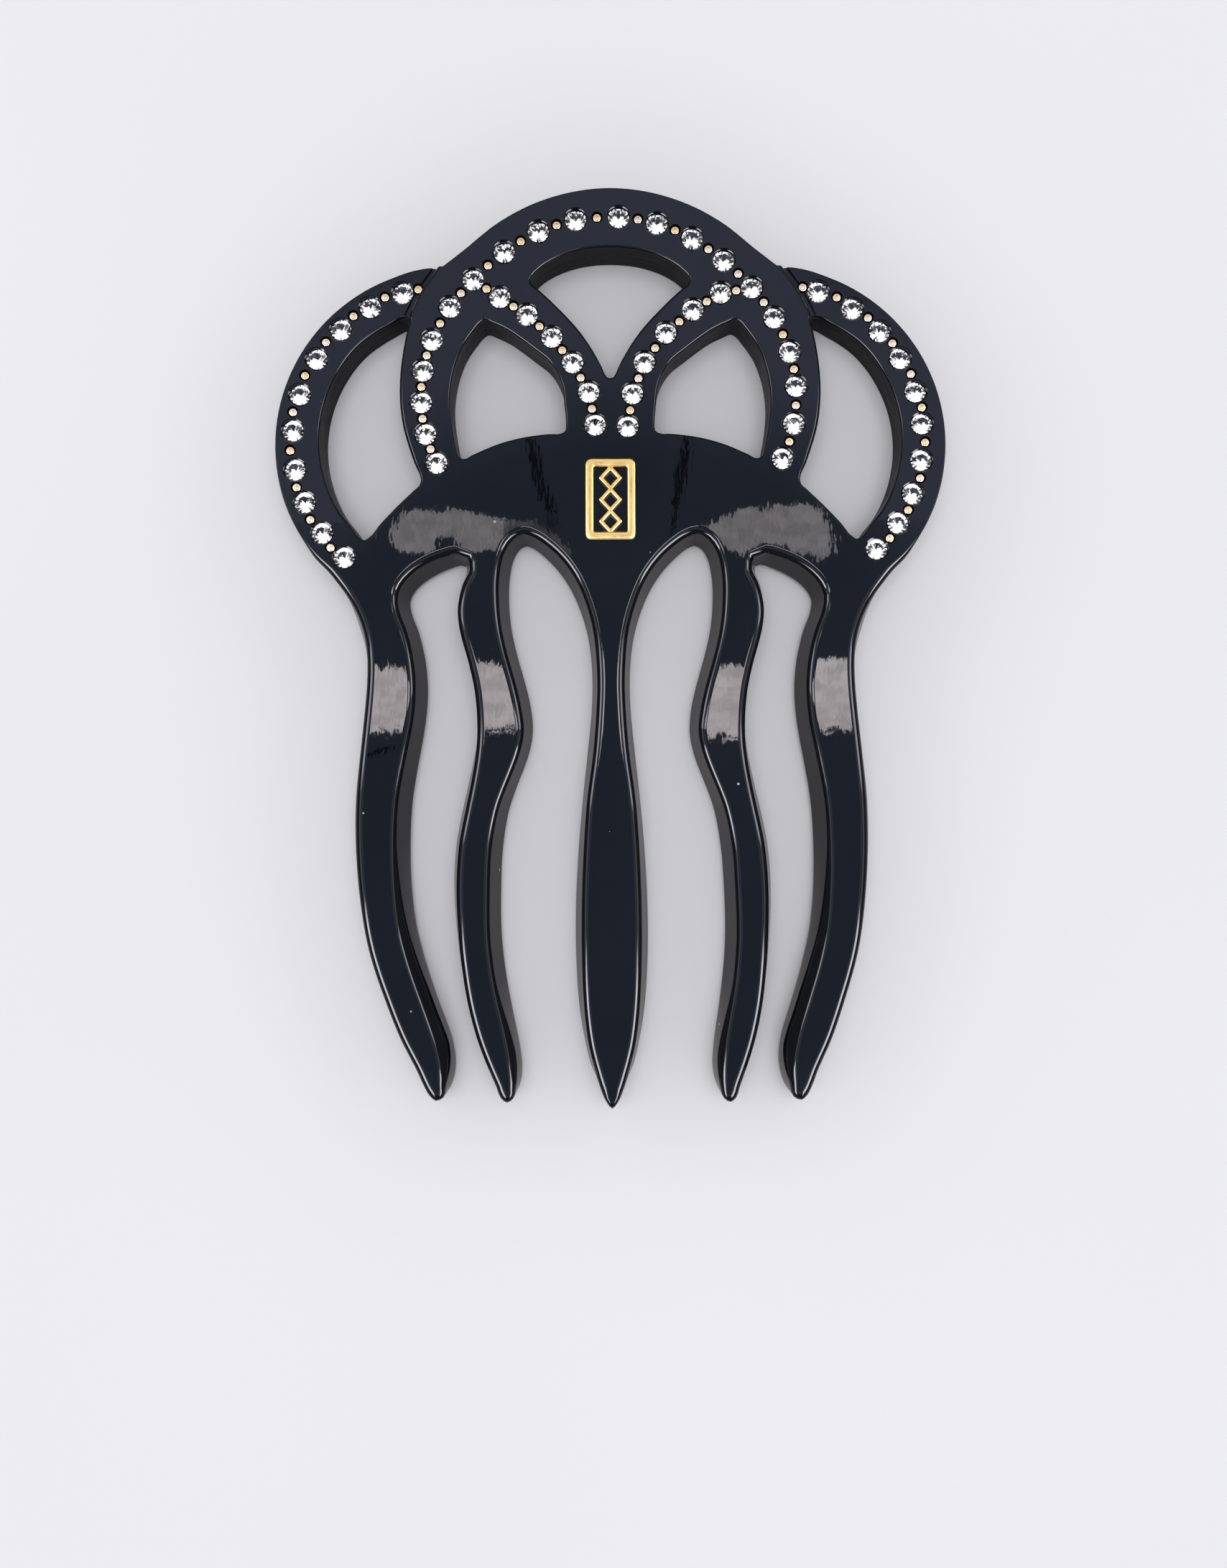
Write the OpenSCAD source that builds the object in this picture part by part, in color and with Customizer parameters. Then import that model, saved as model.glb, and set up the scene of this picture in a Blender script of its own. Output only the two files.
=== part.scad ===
// Five-toothed hair fork cut from one sheet, with drilled-in stones, gold pins and a gold emblem.
// It lies on its back: X runs across it, Y from the tooth tips to the crown, Z out of its face.
// All sizes are in millimetres.

/* [Sheet] */
// Length over the crown and the centre tooth
fork_length = 115.8; // [110:0.2:122]
// Width over the side rings
fork_width = 84.2; // [80:0.2:88]
// Thickness of the sheet that the fork is cut from
sheet_thickness = 5.5; // [4.5:0.1:6.5]
// How far the side rings dip under the centre arch at the seam
ring_dip = 0.9; // [0.4:0.1:1.4]
// Height above the back at which the teeth are widest
widest_height = 1.1; // [0.6:0.1:1.6]
// Depth of the rounding along the front edges of the teeth
edge_depth = 0.95; // [0.6:0.05:1.3]
// How far the tips of the four outer teeth are bent to the right
tip_lean = 0.85; // [0:0.05:1]

/* [Stones and pins] */
// Width of a cut stone
stone_width = 2.62; // [2.4:0.02:2.64]
// Width of the pocket that a stone sits in
pocket_width = 3.05; // [2.95:0.05:3.2]
// Depth of the stone pockets
pocket_depth = 2.1; // [2:0.05:2.6]
// How far the top of a stone stands above the front
stone_rise = 0.2; // [0:0.05:0.3]
// Width of a gold pin
pin_width = 1.04; // [0.9:0.02:1.06]
// Width of the hole that a pin sits in
pin_hole_width = 1.4; // [1.3:0.02:1.5]
// Depth of the pin holes
pin_hole_depth = 1.4; // [1.2:0.1:2]
// How far the top of a pin lies below the front
pin_sink = 0.12; // [0:0.02:0.3]

/* [Emblem] */
// Width of the gold frame
emblem_width = 6.3; // [5.6:0.1:6.6]
// Height of the gold frame
emblem_height = 10.2; // [9:0.1:10.6]
// Width of the frame's bars
emblem_bar = 1.05; // [0.8:0.05:1.2]
// How far the emblem stands above the front
emblem_rise = 0.6; // [0.3:0.05:1]
// Depth of the seat that the emblem is set into
emblem_seat = 0.3; // [0.2:0.05:0.6]

/* [Hidden] */

// Columns of the outline rows: place on the sheet, and how far the flat front stands in from it
X = 0;
Y = 1;
INSET = 2;

// Longest straight piece in a curve, for the outline and for the windows
outline_step = 3.2;
window_step = 1.6;

// Outer circle of the right side ring, and the circle of its window
ring_centre = [19.5, 25.9];
ring_radius = 22.6;
ring_window_centre = [19.45, 26.45];
ring_window_radius = 17.15;

// Right half of the centre arch, from its top to the notch beside the ring
arch_rows = [
    [0, 57.9, 0],
    [5.9, 57.15, 0],
    [10.9, 55.35, 0],
    [14.7, 53.1, 0],
    [18, 50.4, 0],
    [20.85, 48.2, 0],
];
ring_rows = [
    for (angle = [83 : -13 : -21])
        [ring_centre[X] + ring_radius * cos(angle), ring_centre[Y] + ring_radius * sin(angle), 0]
];
// Right half below the ring: the outer tooth, its gap, the inner tooth, its gap and the centre tooth
outer_tooth_rows = [
    [38.5, 13.6, 0.3],
    [37.2, 11.6, 0.7],
    [35.4, 9.7, 1],
    [33.7, 6.9, 1.5],
    [32.3, 3.3, 1.9],
    [31.5, 0.3, 1.8],
    [31.2, -3.2, 1.6],
    [31.5, -7.2, 1.6],
    [32.3, -12.8, 1.8],
    [32.95, -18.8, 1.9],
    [33.05, -23.6, 1.9],
    [32.6, -30.6, 1.8],
    [31.35, -38.2, 1.7],
    [29.5, -44, 1.6],
    [27.4, -49.5, 1.55],
    [25.85, -53.2, 1.75],
    [24.9, -55.2, 1.65],
    [24.1, -56.4, 1.55],
    [23, -57, 1.4],
    [21.95, -56.3, 1.1],
    [21.15, -54.7, 1.7],
    [20.8, -52.7, 2],
    [21.1, -49.8, 2.15],
    [22.4, -45.8, 2],
    [24.1, -40.3, 2.1],
    [25.3, -35.2, 2.2],
    [25.85, -30, 2.2],
    [25.95, -24.8, 2.2],
    [25.6, -18.8, 2.2],
    [24.7, -13.4, 2.1],
    [23.9, -8.8, 2],
    [23.6, -4.7, 2],
    [23.95, -0.7, 2],
    [24.8, 2.9, 2],
    [25.7, 5.4, 2],
    [25.85, 6.7, 2],
    [25.45, 7.7, 2],
    [24.5, 8.8, 2],
    [22.6, 10.1, 2],
    [20.6, 11, 1.9],
    [19.3, 11.4, 1.8],
];
inner_tooth_rows = [
    [18.6, 11.2, 1.8],
    [18.55, 10.4, 1.9],
    [19.2, 8.8, 1.8],
    [19.55, 7, 1.6],
    [19.6, 5.4, 1.4],
    [19.2, 2.7, 1.2],
    [18.2, -1.1, 1.2],
    [17.4, -4.6, 1.2],
    [17.15, -7.9, 1.3],
    [17.35, -11.5, 1.5],
    [18.1, -15.5, 1.7],
    [19.1, -19.9, 1.8],
    [19.95, -24.2, 1.8],
    [20.35, -28.8, 1.8],
    [20.2, -34.7, 1.7],
    [19.7, -40, 1.6],
    [18.9, -45, 1.5],
    [17.75, -49.5, 1.45],
    [16.5, -53.2, 1.5],
    [15.6, -55.2, 1.4],
    [14.95, -56.4, 1.2],
    [14.05, -57.05, 1.2],
    [13.15, -56.4, 0.9],
    [12.5, -55, 1.45],
    [12.25, -53.3, 1.7],
    [12.4, -51, 1.75],
    [13.05, -47, 1.8],
    [13.85, -42, 2],
    [14.35, -36.8, 2.1],
    [14.35, -30.5, 2.1],
    [13.9, -24, 2.1],
    [13.1, -19.8, 2],
    [11.8, -16.2, 1.9],
    [10.65, -13.1, 1.9],
    [10.1, -10.2, 1.9],
    [10.25, -7.6, 2],
    [11, -4.1, 2],
    [12, -0.5, 2],
    [12.75, 2.8, 2],
    [13.1, 6.5, 2],
    [12.95, 10, 2],
    [12.4, 12.3, 1.9],
    [11.7, 13.4, 1.8],
];
centre_tooth_rows = [
    [10.8, 13.85, 1.8],
    [9.9, 13.5, 1.8],
    [8.6, 12.5, 1.9],
    [6.8, 10.65, 2],
    [5.2, 8.3, 2],
    [3.9, 5.4, 1.9],
    [3, 2.3, 1.8],
    [2.5, -1.4, 1.7],
    [2.4, -4.5, 1.7],
    [2.5, -7.2, 1.7],
    [3, -12.5, 1.8],
    [3.7, -19, 1.65],
    [4.25, -25.4, 1.75],
    [4.6, -32.5, 1.85],
    [4.55, -40.3, 1.85],
    [4.15, -45.8, 1.75],
    [3.4, -50.2, 1.6],
    [2.6, -53.3, 1.6],
    [1.6, -55.4, 1.25],
    [0.75, -56.95, 0.65],
    [0, -57.9, 1.25],
];

// Section of a tooth, from the back to the front: height, and the share of the inset reached there
section_levels = [
    [0, 0.22],
    [widest_height, 0],
    [sheet_thickness - edge_depth, 0.42],
    [sheet_thickness - edge_depth * 0.3, 0.65],
    [sheet_thickness, 1],
];

// Right half of the window at the top, from its top to the point below
top_window_rows = [
    [0, 50.45],
    [4.3, 49.95],
    [7.15, 48.9],
    [8.4, 48.15],
    [9.6, 47.05],
    [10, 46.5],
    [9.85, 45.95],
    [8.95, 45.2],
    [6.35, 42.75],
    [3.8, 39.95],
    [2.1, 37.45],
    [1, 35.4],
    [0.65, 34.6],
    [0.4, 34.2],
    [0, 34.1],
];
// The window between the centre arch and the right inner arc
arc_window_rows = [
    [15.75, 41.35],
    [16.25, 41.05],
    [17.1, 40.05],
    [18.6, 37.8],
    [19.45, 35.6],
    [19.95, 33.2],
    [20.1, 31.1],
    [19.95, 28.9],
    [19.6, 26.6],
    [19.3, 25.1],
    [19.05, 24.3],
    [18.4, 24],
    [17.3, 24.5],
    [14.1, 25.85],
    [10.85, 26.7],
    [7.6, 27.1],
    [6.1, 27.2],
    [5.65, 27.5],
    [5.57, 28.4],
    [5.75, 30.7],
    [6.05, 33.2],
    [7.65, 36.2],
    [9.55, 37.75],
    [11.2, 39],
    [12.9, 40.15],
    [14.6, 40.95],
];
// The window of the right side ring: its round outer side, and the rest of it
ring_window_rows = [
    [25.9, 41.95],
    [28.1, 40.95],
    for (angle = [44 : -12.5 : -31])
        ring_window_centre + ring_window_radius * [cos(angle), sin(angle)],
    [32.6, 15.6],
    [31.5, 14.15],
    [30.9, 13.85],
    [30.35, 14.15],
    [28.95, 15.8],
    [26.9, 17.95],
    [24.7, 20.05],
    [23.95, 20.75],
    [23.8, 21.2],
    [23.85, 21.7],
    [24.55, 23.35],
    [25.3, 25.5],
    [26, 28],
    [26.4, 31],
    [26.4, 34.15],
    [26.05, 37.3],
    [25.5, 40.1],
    [25.2, 41.4],
    [25.35, 41.9],
];

// The seam where the right ring meets the arch, and the area outside it that dips
dip_start = 16;
dip_full = 45;
dip_angle = atan(ring_dip / (dip_full - dip_start));
dip_rows = [
    [20.3, 50],
    [21.7, 48],
    [23.7, 45.1],
    [25.3, 41.95],
    [27, 40.2],
    [30, 30],
    [31, dip_start],
    [60, dip_start],
    [60, 60],
    [20.3, 60],
];

// Middle line of the centre arch from its top down one side, which starts a little left of the middle
arch_path_start = -0.2;
arch_path_rows = [
    [0, 54.3],
    [4.1, 53.9],
    [8.8, 52.4],
    [13, 49.9],
    [16.9, 46.5],
    [20, 42.8],
    [22.2, 38.7],
    [23.3, 34.9],
    [23.5, 31],
    [23, 27.2],
    [21.7, 23.7],
    [21, 22.2],
];
// Distance of each stone of the centre arch from the top along that line, left ones first
arch_stone_places = [
    -44.3, -40.4, -36.4, -32.4, -28.4, -23.7, -19.2, -14, -9, -4.1,
    1.3, 6.2, 11, 15.8, 20.7, 25.4, 30.1, 34.5, 39.2, 43.8,
];
// Stones of each inner arc from its top down, as on the right side
left_arc_places = [
    [13.8, 44.2],
    [10.4, 42],
    [7.3, 39.2],
    [4.7, 36],
    [2.7, 32.3],
    [1.9, 28.2],
];
right_arc_places = [
    [13.9, 44.7],
    [10.4, 42.6],
    [7, 39.7],
    [4.3, 36],
    [2.8, 32.1],
    [2.2, 28],
];
// Stones of the centre arch at the heads of the left and the right inner arc, counted from 0
left_arc_head = 6;
right_arc_head = 14;
// Stones of the side rings: centre and radius of their circle, and their angles from its right
left_stone_circle = [20.2, 26.3];
right_stone_circle = [19.5, 26.6];
stone_circle_radius = 19.75;
pin_circle_radius = 20.05;
left_ring_stone_angles = [72.5, 59.5, 46, 32, 17.5, 4, -10.5, -23, -36, -48];
right_ring_stone_angles = [70, 56, 43, 30.5, 17, 5, -8.5, -21.2, -33.2, -45.5];
ring_top_pin_step = 5.9;

// A stone is a round brilliant: shares of its width
table_share = 0.56;
crown_share = 0.15;
girdle_share = 0.03;
pavilion_share = 0.42;
kite_height_share = 0.52;
kite_reach_share = 0.8;
stone_sides = 8;

// A pin is a short cylinder with a broken edge
pin_length = 1.1;
pin_edge = 0.1;

// The emblem: its place, its corners, its air gap and the row of lozenges inside the frame
emblem_place = [0, 18.75];
emblem_corner = 0.8;
emblem_gap = 0.05;
lozenge_count = 3;
lozenge_width = 3;
lozenge_bar = 0.62;
lozenge_overlap = 0.5;
lozenge_sink = 0.15;

// Height on the sheet below which the outer teeth bend, and the nearest that such a tooth comes to the middle
lean_start = -15;
lean_side = 8;

function place(row) = [row[X], row[Y]];
function distance(a, b) = norm(place(b) - place(a));
function mirrored(row) = [for (column = [0 : len(row) - 1]) column == X ? -row[column] : row[column]];
function reversed(rows) = [for (i = [len(rows) - 1 : -1 : 0]) rows[i]];
function without_first(rows) = [for (i = [1 : len(rows) - 1]) rows[i]];
function without_last(rows) = [for (i = [0 : len(rows) - 2]) rows[i]];
function mirrored_rows(rows) = [for (row = reversed(rows)) mirrored(row)];

// Change of a row per millimetre along a smooth line that passes through all rows
function direction(rows, i, closed) =
    let (
        n = len(rows),
        here = rows[i],
        before = closed ? rows[(i + n - 1) % n] : rows[max(i - 1, 0)],
        after = closed ? rows[(i + 1) % n] : rows[min(i + 1, n - 1)],
        back = distance(before, here),
        ahead = distance(here, after)
    )
    back == 0 ? (after - here) / ahead
    : ahead == 0 ? (here - before) / back
    : ((here - before) * (ahead / back) + (after - here) * (back / ahead)) / (back + ahead);

// Row at share u of the way from row i to the next one
function between(rows, i, u, closed) =
    let (
        next = (i + 1) % len(rows),
        length = distance(rows[i], rows[next])
    )
    rows[i] * ((1 + 2 * u) * (1 - u) ^ 2)
    + rows[next] * (u ^ 2 * (3 - 2 * u))
    + direction(rows, i, closed) * (length * u * (1 - u) ^ 2)
    - direction(rows, next, closed) * (length * u ^ 2 * (1 - u));

// All rows of the smooth line, without the last one of an open line
function smooth(rows, step, closed = false) = [
    for (i = [0 : len(rows) - (closed ? 1 : 2)])
        let (pieces = ceil(distance(rows[i], rows[(i + 1) % len(rows)]) / step))
            for (k = [0 : pieces - 1])
                between(rows, i, k / pieces, closed)
];

// Point of a smooth open line at a distance from its start, measured along its rows
function along(rows, length, i = 0) =
    let (piece = distance(rows[i], rows[i + 1]))
    length <= piece || i == len(rows) - 2 ? between(rows, i, length / piece, false)
    : along(rows, length - piece, i + 1);

// Moves a row of an outer tooth to the right, more towards the tip
function leaned(row) =
    abs(row[X]) < lean_side || row[Y] > lean_start ? row
    : row + [tip_lean * ((lean_start - row[Y]) / (lean_start + fork_length / 2)) ^ 2, 0, 0];

right_half_rows = concat(ring_rows, outer_tooth_rows, inner_tooth_rows, centre_tooth_rows);
outline = concat(
    smooth(concat(mirrored_rows(without_first(arch_rows)), arch_rows), outline_step),
    smooth([
        for (row = concat(
            [arch_rows[len(arch_rows) - 1]],
            right_half_rows,
            mirrored_rows(without_last(right_half_rows)),
            [mirrored(arch_rows[len(arch_rows) - 1])]
        ))
            leaned(row)
    ], outline_step)
);

// Unit vector into the solid at each point of the outline
inward = [
    for (i = [0 : len(outline) - 1])
        let (
            n = len(outline),
            line = place(outline[(i + 1) % n]) - place(outline[(i + n - 1) % n])
        )
        [line[Y], -line[X]] / norm(line)
];

// How far the face of a side ring lies below the front
function dip(at) = abs(at[X]) < 21 || at[Y] < dip_start ? 0 : (at[Y] - dip_start) * tan(dip_angle);

// Places of the stones and pins
function arch_place(distance_from_top) =
    let (at = along(arch_path_rows, abs(distance_from_top)))
    [arch_path_start, 0] + (distance_from_top < 0 ? mirrored(at) : at);
function middle(a, b) = (a + b) / 2;
function on_circle(centre, radius, angle) = centre + radius * [cos(angle), sin(angle)];
function ring_stones(centre, angles) = [
    for (angle = angles) on_circle(centre, stone_circle_radius, angle)
];
function ring_pins(centre, angles) = concat(
    [on_circle(centre, stone_circle_radius, angles[0] + ring_top_pin_step)],
    [
        for (i = [1 : len(angles) - 1])
            on_circle(centre, pin_circle_radius, middle(angles[i - 1], angles[i]))
    ]
);
function pins_between(stones) = [for (i = [1 : len(stones) - 1]) middle(stones[i - 1], stones[i])];

arch_stones = [for (at = arch_stone_places) arch_place(at)];
arch_pins = [
    for (i = [1 : len(arch_stone_places) - 1])
        arch_place(middle(arch_stone_places[i - 1], arch_stone_places[i]))
];
left_arc_stones = [for (at = left_arc_places) mirrored(at)];
left_arc_pins = pins_between(concat([arch_stones[left_arc_head]], left_arc_stones));
right_arc_stones = right_arc_places;
right_arc_pins = pins_between(concat([arch_stones[right_arc_head]], right_arc_stones));
left_ring_stones = mirrored_rows(ring_stones(left_stone_circle, left_ring_stone_angles));
left_ring_pins = mirrored_rows(ring_pins(left_stone_circle, left_ring_stone_angles));
right_ring_stones = ring_stones(right_stone_circle, right_ring_stone_angles);
right_ring_pins = ring_pins(right_stone_circle, right_ring_stone_angles);
// The side rings' stones and pins lie on the dipped faces, the others on the front
front_stones = concat(arch_stones, left_arc_stones, right_arc_stones);
front_pins = concat(arch_pins, left_arc_pins, right_arc_pins);
ring_face_stones = concat(left_ring_stones, right_ring_stones);
ring_face_pins = concat(left_ring_pins, right_ring_pins);

// The whole outer form, whose sides lean and round over where the outline has an inset
module outer_form() {
    n = len(outline);
    last = len(section_levels) - 1;
    points = [
        for (level = section_levels)
            for (i = [0 : n - 1])
                let (at = place(outline[i]) + inward[i] * outline[i][INSET] * level[1])
                [at[X], at[Y], level[0]]
    ];
    sides = [
        for (low = [0 : last - 1])
            for (i = [0 : n - 1])
                let (
                    next = (i + 1) % n,
                    a = low * n + i,
                    b = low * n + next
                )
                each [[b + n, a + n, a], [b + n, a, b]]
    ];
    front = [for (i = [0 : n - 1]) last * n + i];
    back = [for (i = [n - 1 : -1 : 0]) i];
    polyhedron(points = points, faces = concat(sides, [front, back]));
}

// A window cut straight through the sheet
module window(rows) {
    translate([0, 0, -1])
        linear_extrude(sheet_thickness + 2)
            polygon(smooth(rows, window_step, closed = true));
}

module windows() {
    window(concat(top_window_rows, mirrored_rows(without_first(without_last(top_window_rows)))));
    window(arc_window_rows);
    window(ring_window_rows);
    mirror([1, 0, 0]) {
        window(arc_window_rows);
        window(ring_window_rows);
    }
}

// Takes the face of the right ring down to its slope
module right_ring_slope() {
    translate([0, dip_start, sheet_thickness])
        rotate([-dip_angle, 0, 0])
            linear_extrude(4)
                translate([0, -dip_start])
                    polygon(dip_rows);
}

// Round holes of one depth below the face at each place
module drilled(places, width, depth, dipped) {
    for (at = places)
        translate([at[X], at[Y], sheet_thickness - (dipped ? dip(at) : 0) - depth])
            cylinder(d = width, h = depth + 2, $fn = 32);
}

// Frame outline with round corners
module rounded_plate(width, height, corner) {
    union() {
        square([width - 2 * corner, height], center = true);
        square([width, height - 2 * corner], center = true);
        for (side = [-1, 1], end = [-1, 1])
            translate([side * (width / 2 - corner), end * (height / 2 - corner)])
                circle(r = corner, $fn = 32);
    }
}

module emblem_pocket() {
    translate([emblem_place[X], emblem_place[Y], sheet_thickness - emblem_seat])
        linear_extrude(emblem_seat + 2)
            rounded_plate(emblem_width + 2 * emblem_gap, emblem_height + 2 * emblem_gap,
                          emblem_corner + emblem_gap);
}

module fork_body() {
    color([0.1, 0.11, 0.14])
        difference() {
            resize([fork_width, fork_length, sheet_thickness])
                outer_form();
            windows();
            right_ring_slope();
            mirror([1, 0, 0])
                right_ring_slope();
            drilled(front_stones, pocket_width, pocket_depth, false);
            drilled(ring_face_stones, pocket_width, pocket_depth, true);
            drilled(front_pins, pin_hole_width, pin_hole_depth, false);
            drilled(ring_face_pins, pin_hole_width, pin_hole_depth, true);
            emblem_pocket();
        }
}

// An open lozenge, joined to the next one at its points
module lozenge(width, height, bar) {
    difference() {
        polygon([[-width / 2, 0], [0, height / 2], [width / 2, 0], [0, -height / 2]]);
        polygon([
            [-width / 2 + bar, 0],
            [0, height / 2 - bar * height / width],
            [width / 2 - bar, 0],
            [0, -height / 2 + bar * height / width],
        ]);
    }
}

module emblem() {
    inner_height = emblem_height - 2 * emblem_bar;
    lozenge_height = inner_height / lozenge_count;
    base_height = emblem_seat - emblem_gap + emblem_rise;
    color([0.9, 0.7, 0.3])
        translate([emblem_place[X], emblem_place[Y], sheet_thickness - emblem_seat + emblem_gap]) {
            difference() {
                linear_extrude(base_height)
                    rounded_plate(emblem_width, emblem_height, emblem_corner);
                translate([0, 0, -1])
                    linear_extrude(base_height + 2)
                        square([emblem_width - 2 * emblem_bar, inner_height], center = true);
            }
            for (i = [0 : lozenge_count - 1])
                translate([0, (i - (lozenge_count - 1) / 2) * lozenge_height, 0])
                    linear_extrude(base_height - lozenge_sink)
                        lozenge(lozenge_width, lozenge_height + lozenge_overlap, lozenge_bar);
        }
}

// One brilliant with its table upwards and the middle of its table at the origin
module brilliant(width) {
    r = width / 2;
    crown = width * crown_share;
    girdle = width * girdle_share;
    pavilion = width * pavilion_share;
    half_step = 180 / stone_sides;
    table_points = [
        for (k = [0 : stone_sides - 1])
            let (angle = (2 * k + 1) * half_step)
            [r * table_share * cos(angle), r * table_share * sin(angle), 0]
    ];
    kite_points = [
        for (k = [0 : stone_sides - 1])
            let (angle = 2 * k * half_step)
            [r * kite_reach_share * cos(angle), r * kite_reach_share * sin(angle),
             -crown * kite_height_share]
    ];
    girdle_top = [
        for (k = [0 : 2 * stone_sides - 1])
            [r * cos(k * half_step), r * sin(k * half_step), -crown]
    ];
    girdle_low = [for (point = girdle_top) point - [0, 0, girdle]];
    culet = [[0, 0, -crown - girdle - pavilion]];
    kites = stone_sides;
    top_ring = 2 * stone_sides;
    low_ring = 4 * stone_sides;
    tip = 6 * stone_sides;
    sides = [0 : stone_sides - 1];
    rim = [0 : 2 * stone_sides - 1];
    around = 2 * stone_sides;
    faces = concat(
        [[for (k = [stone_sides - 1 : -1 : 0]) k]],
        [for (k = sides) [k, kites + k, (k + stone_sides - 1) % stone_sides]],
        [for (k = sides) [k, kites + (k + 1) % stone_sides, top_ring + 2 * k + 1]],
        [for (k = sides) [k, top_ring + 2 * k + 1, kites + k]],
        [for (k = sides) [kites + k, top_ring + 2 * k + 1, top_ring + 2 * k]],
        [for (k = sides) [kites + k, top_ring + 2 * k, top_ring + (2 * k + around - 1) % around]],
        [for (k = rim) [top_ring + k, top_ring + (k + 1) % around, low_ring + (k + 1) % around]],
        [for (k = rim) [top_ring + k, low_ring + (k + 1) % around, low_ring + k]],
        [for (k = rim) [tip, low_ring + k, low_ring + (k + 1) % around]]
    );
    polyhedron(points = concat(table_points, kite_points, girdle_top, girdle_low, culet), faces = faces);
}

module stones(places, dipped) {
    color([0.9, 0.93, 0.97])
        for (at = places)
            translate([at[X], at[Y], sheet_thickness - (dipped ? dip(at) : 0) + stone_rise])
                brilliant(stone_width);
}

module pins(places, dipped) {
    color([0.92, 0.74, 0.42])
        for (at = places)
            translate([at[X], at[Y], sheet_thickness - (dipped ? dip(at) : 0) - pin_sink - pin_length])
                rotate_extrude($fn = 32)
                    polygon([
                        [0, 0],
                        [pin_width / 2, 0],
                        [pin_width / 2, pin_length - pin_edge],
                        [pin_width / 2 - pin_edge, pin_length],
                        [0, pin_length],
                    ]);
}

module stones_centre_arch() stones(arch_stones, false);
module stones_left_arc() stones(left_arc_stones, false);
module stones_right_arc() stones(right_arc_stones, false);
module stones_left_ring() stones(left_ring_stones, true);
module stones_right_ring() stones(right_ring_stones, true);
module pins_centre_arch() pins(arch_pins, false);
module pins_left_arc() pins(left_arc_pins, false);
module pins_right_arc() pins(right_arc_pins, false);
module pins_left_ring() pins(left_ring_pins, true);
module pins_right_ring() pins(right_ring_pins, true);

fork_body();
emblem();
stones_centre_arch();
stones_left_arc();
stones_right_arc();
stones_left_ring();
stones_right_ring();
pins_centre_arch();
pins_left_arc();
pins_right_arc();
pins_left_ring();
pins_right_ring();
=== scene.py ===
import math
import random

import bmesh
import bpy
from mathutils import Matrix, Vector


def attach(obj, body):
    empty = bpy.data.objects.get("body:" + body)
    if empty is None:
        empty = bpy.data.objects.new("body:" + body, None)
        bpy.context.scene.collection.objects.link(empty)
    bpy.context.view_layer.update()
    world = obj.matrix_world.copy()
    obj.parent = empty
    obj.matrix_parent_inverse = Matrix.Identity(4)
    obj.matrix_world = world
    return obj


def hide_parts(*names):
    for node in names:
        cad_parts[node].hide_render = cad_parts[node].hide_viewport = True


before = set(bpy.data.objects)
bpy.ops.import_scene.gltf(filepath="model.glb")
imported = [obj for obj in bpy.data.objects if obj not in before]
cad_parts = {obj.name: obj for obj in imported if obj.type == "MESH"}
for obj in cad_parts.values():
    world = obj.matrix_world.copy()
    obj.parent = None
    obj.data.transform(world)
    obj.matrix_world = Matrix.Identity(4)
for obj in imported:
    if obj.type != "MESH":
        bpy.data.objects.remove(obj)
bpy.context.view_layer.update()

# The fork lies on its back: X runs across it, Y from the tooth tips to the crown, Z out of its face.
# Shapes are made in millimetres, and each finished piece is brought to metres once.
MM = 0.001

# Driving sizes of the sheet, the stones, the pins and the emblem, as in the CAD model
FORK_LENGTH = 115.8
FORK_WIDTH = 84.2
SHEET_THICKNESS = 5.5
RING_DIP = 0.9
WIDEST_HEIGHT = 1.1
TIP_LEAN = 0.85
STONE_WIDTH = 2.62
POCKET_WIDTH = 3.05
POCKET_DEPTH = 2.1
STONE_RISE = 0.2
PIN_WIDTH = 1.04
PIN_HOLE_WIDTH = 1.4
PIN_HOLE_DEPTH = 1.4
PIN_SINK = 0.12
EMBLEM_WIDTH = 6.3
EMBLEM_HEIGHT = 10.2
EMBLEM_BAR = 1.05
EMBLEM_RISE = 0.6
EMBLEM_SEAT = 0.3

# Columns of the outline rows: place on the sheet, and how far the flat front stands in from it
X, Y, INSET = 0, 1, 2

# Longest straight piece of the CAD outline, and of the finer outlines here
OUTLINE_STEP = 3.2
FINE_STEP = 0.75
WINDOW_STEP = 0.5

# Outer circle of the right side ring, and the circle of its window
RING_CENTRE = (19.5, 25.9)
RING_RADIUS = 22.6
RING_WINDOW_CENTRE = (19.45, 26.45)
RING_WINDOW_RADIUS = 17.15

# Right half of the centre arch, from its top to the notch beside the ring
ARCH_ROWS = [
    (0, 57.9, 0),
    (5.9, 57.15, 0),
    (10.9, 55.35, 0),
    (14.7, 53.1, 0),
    (18, 50.4, 0),
    (20.85, 48.2, 0),
]
RING_ANGLES = range(83, -22, -13)
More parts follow.
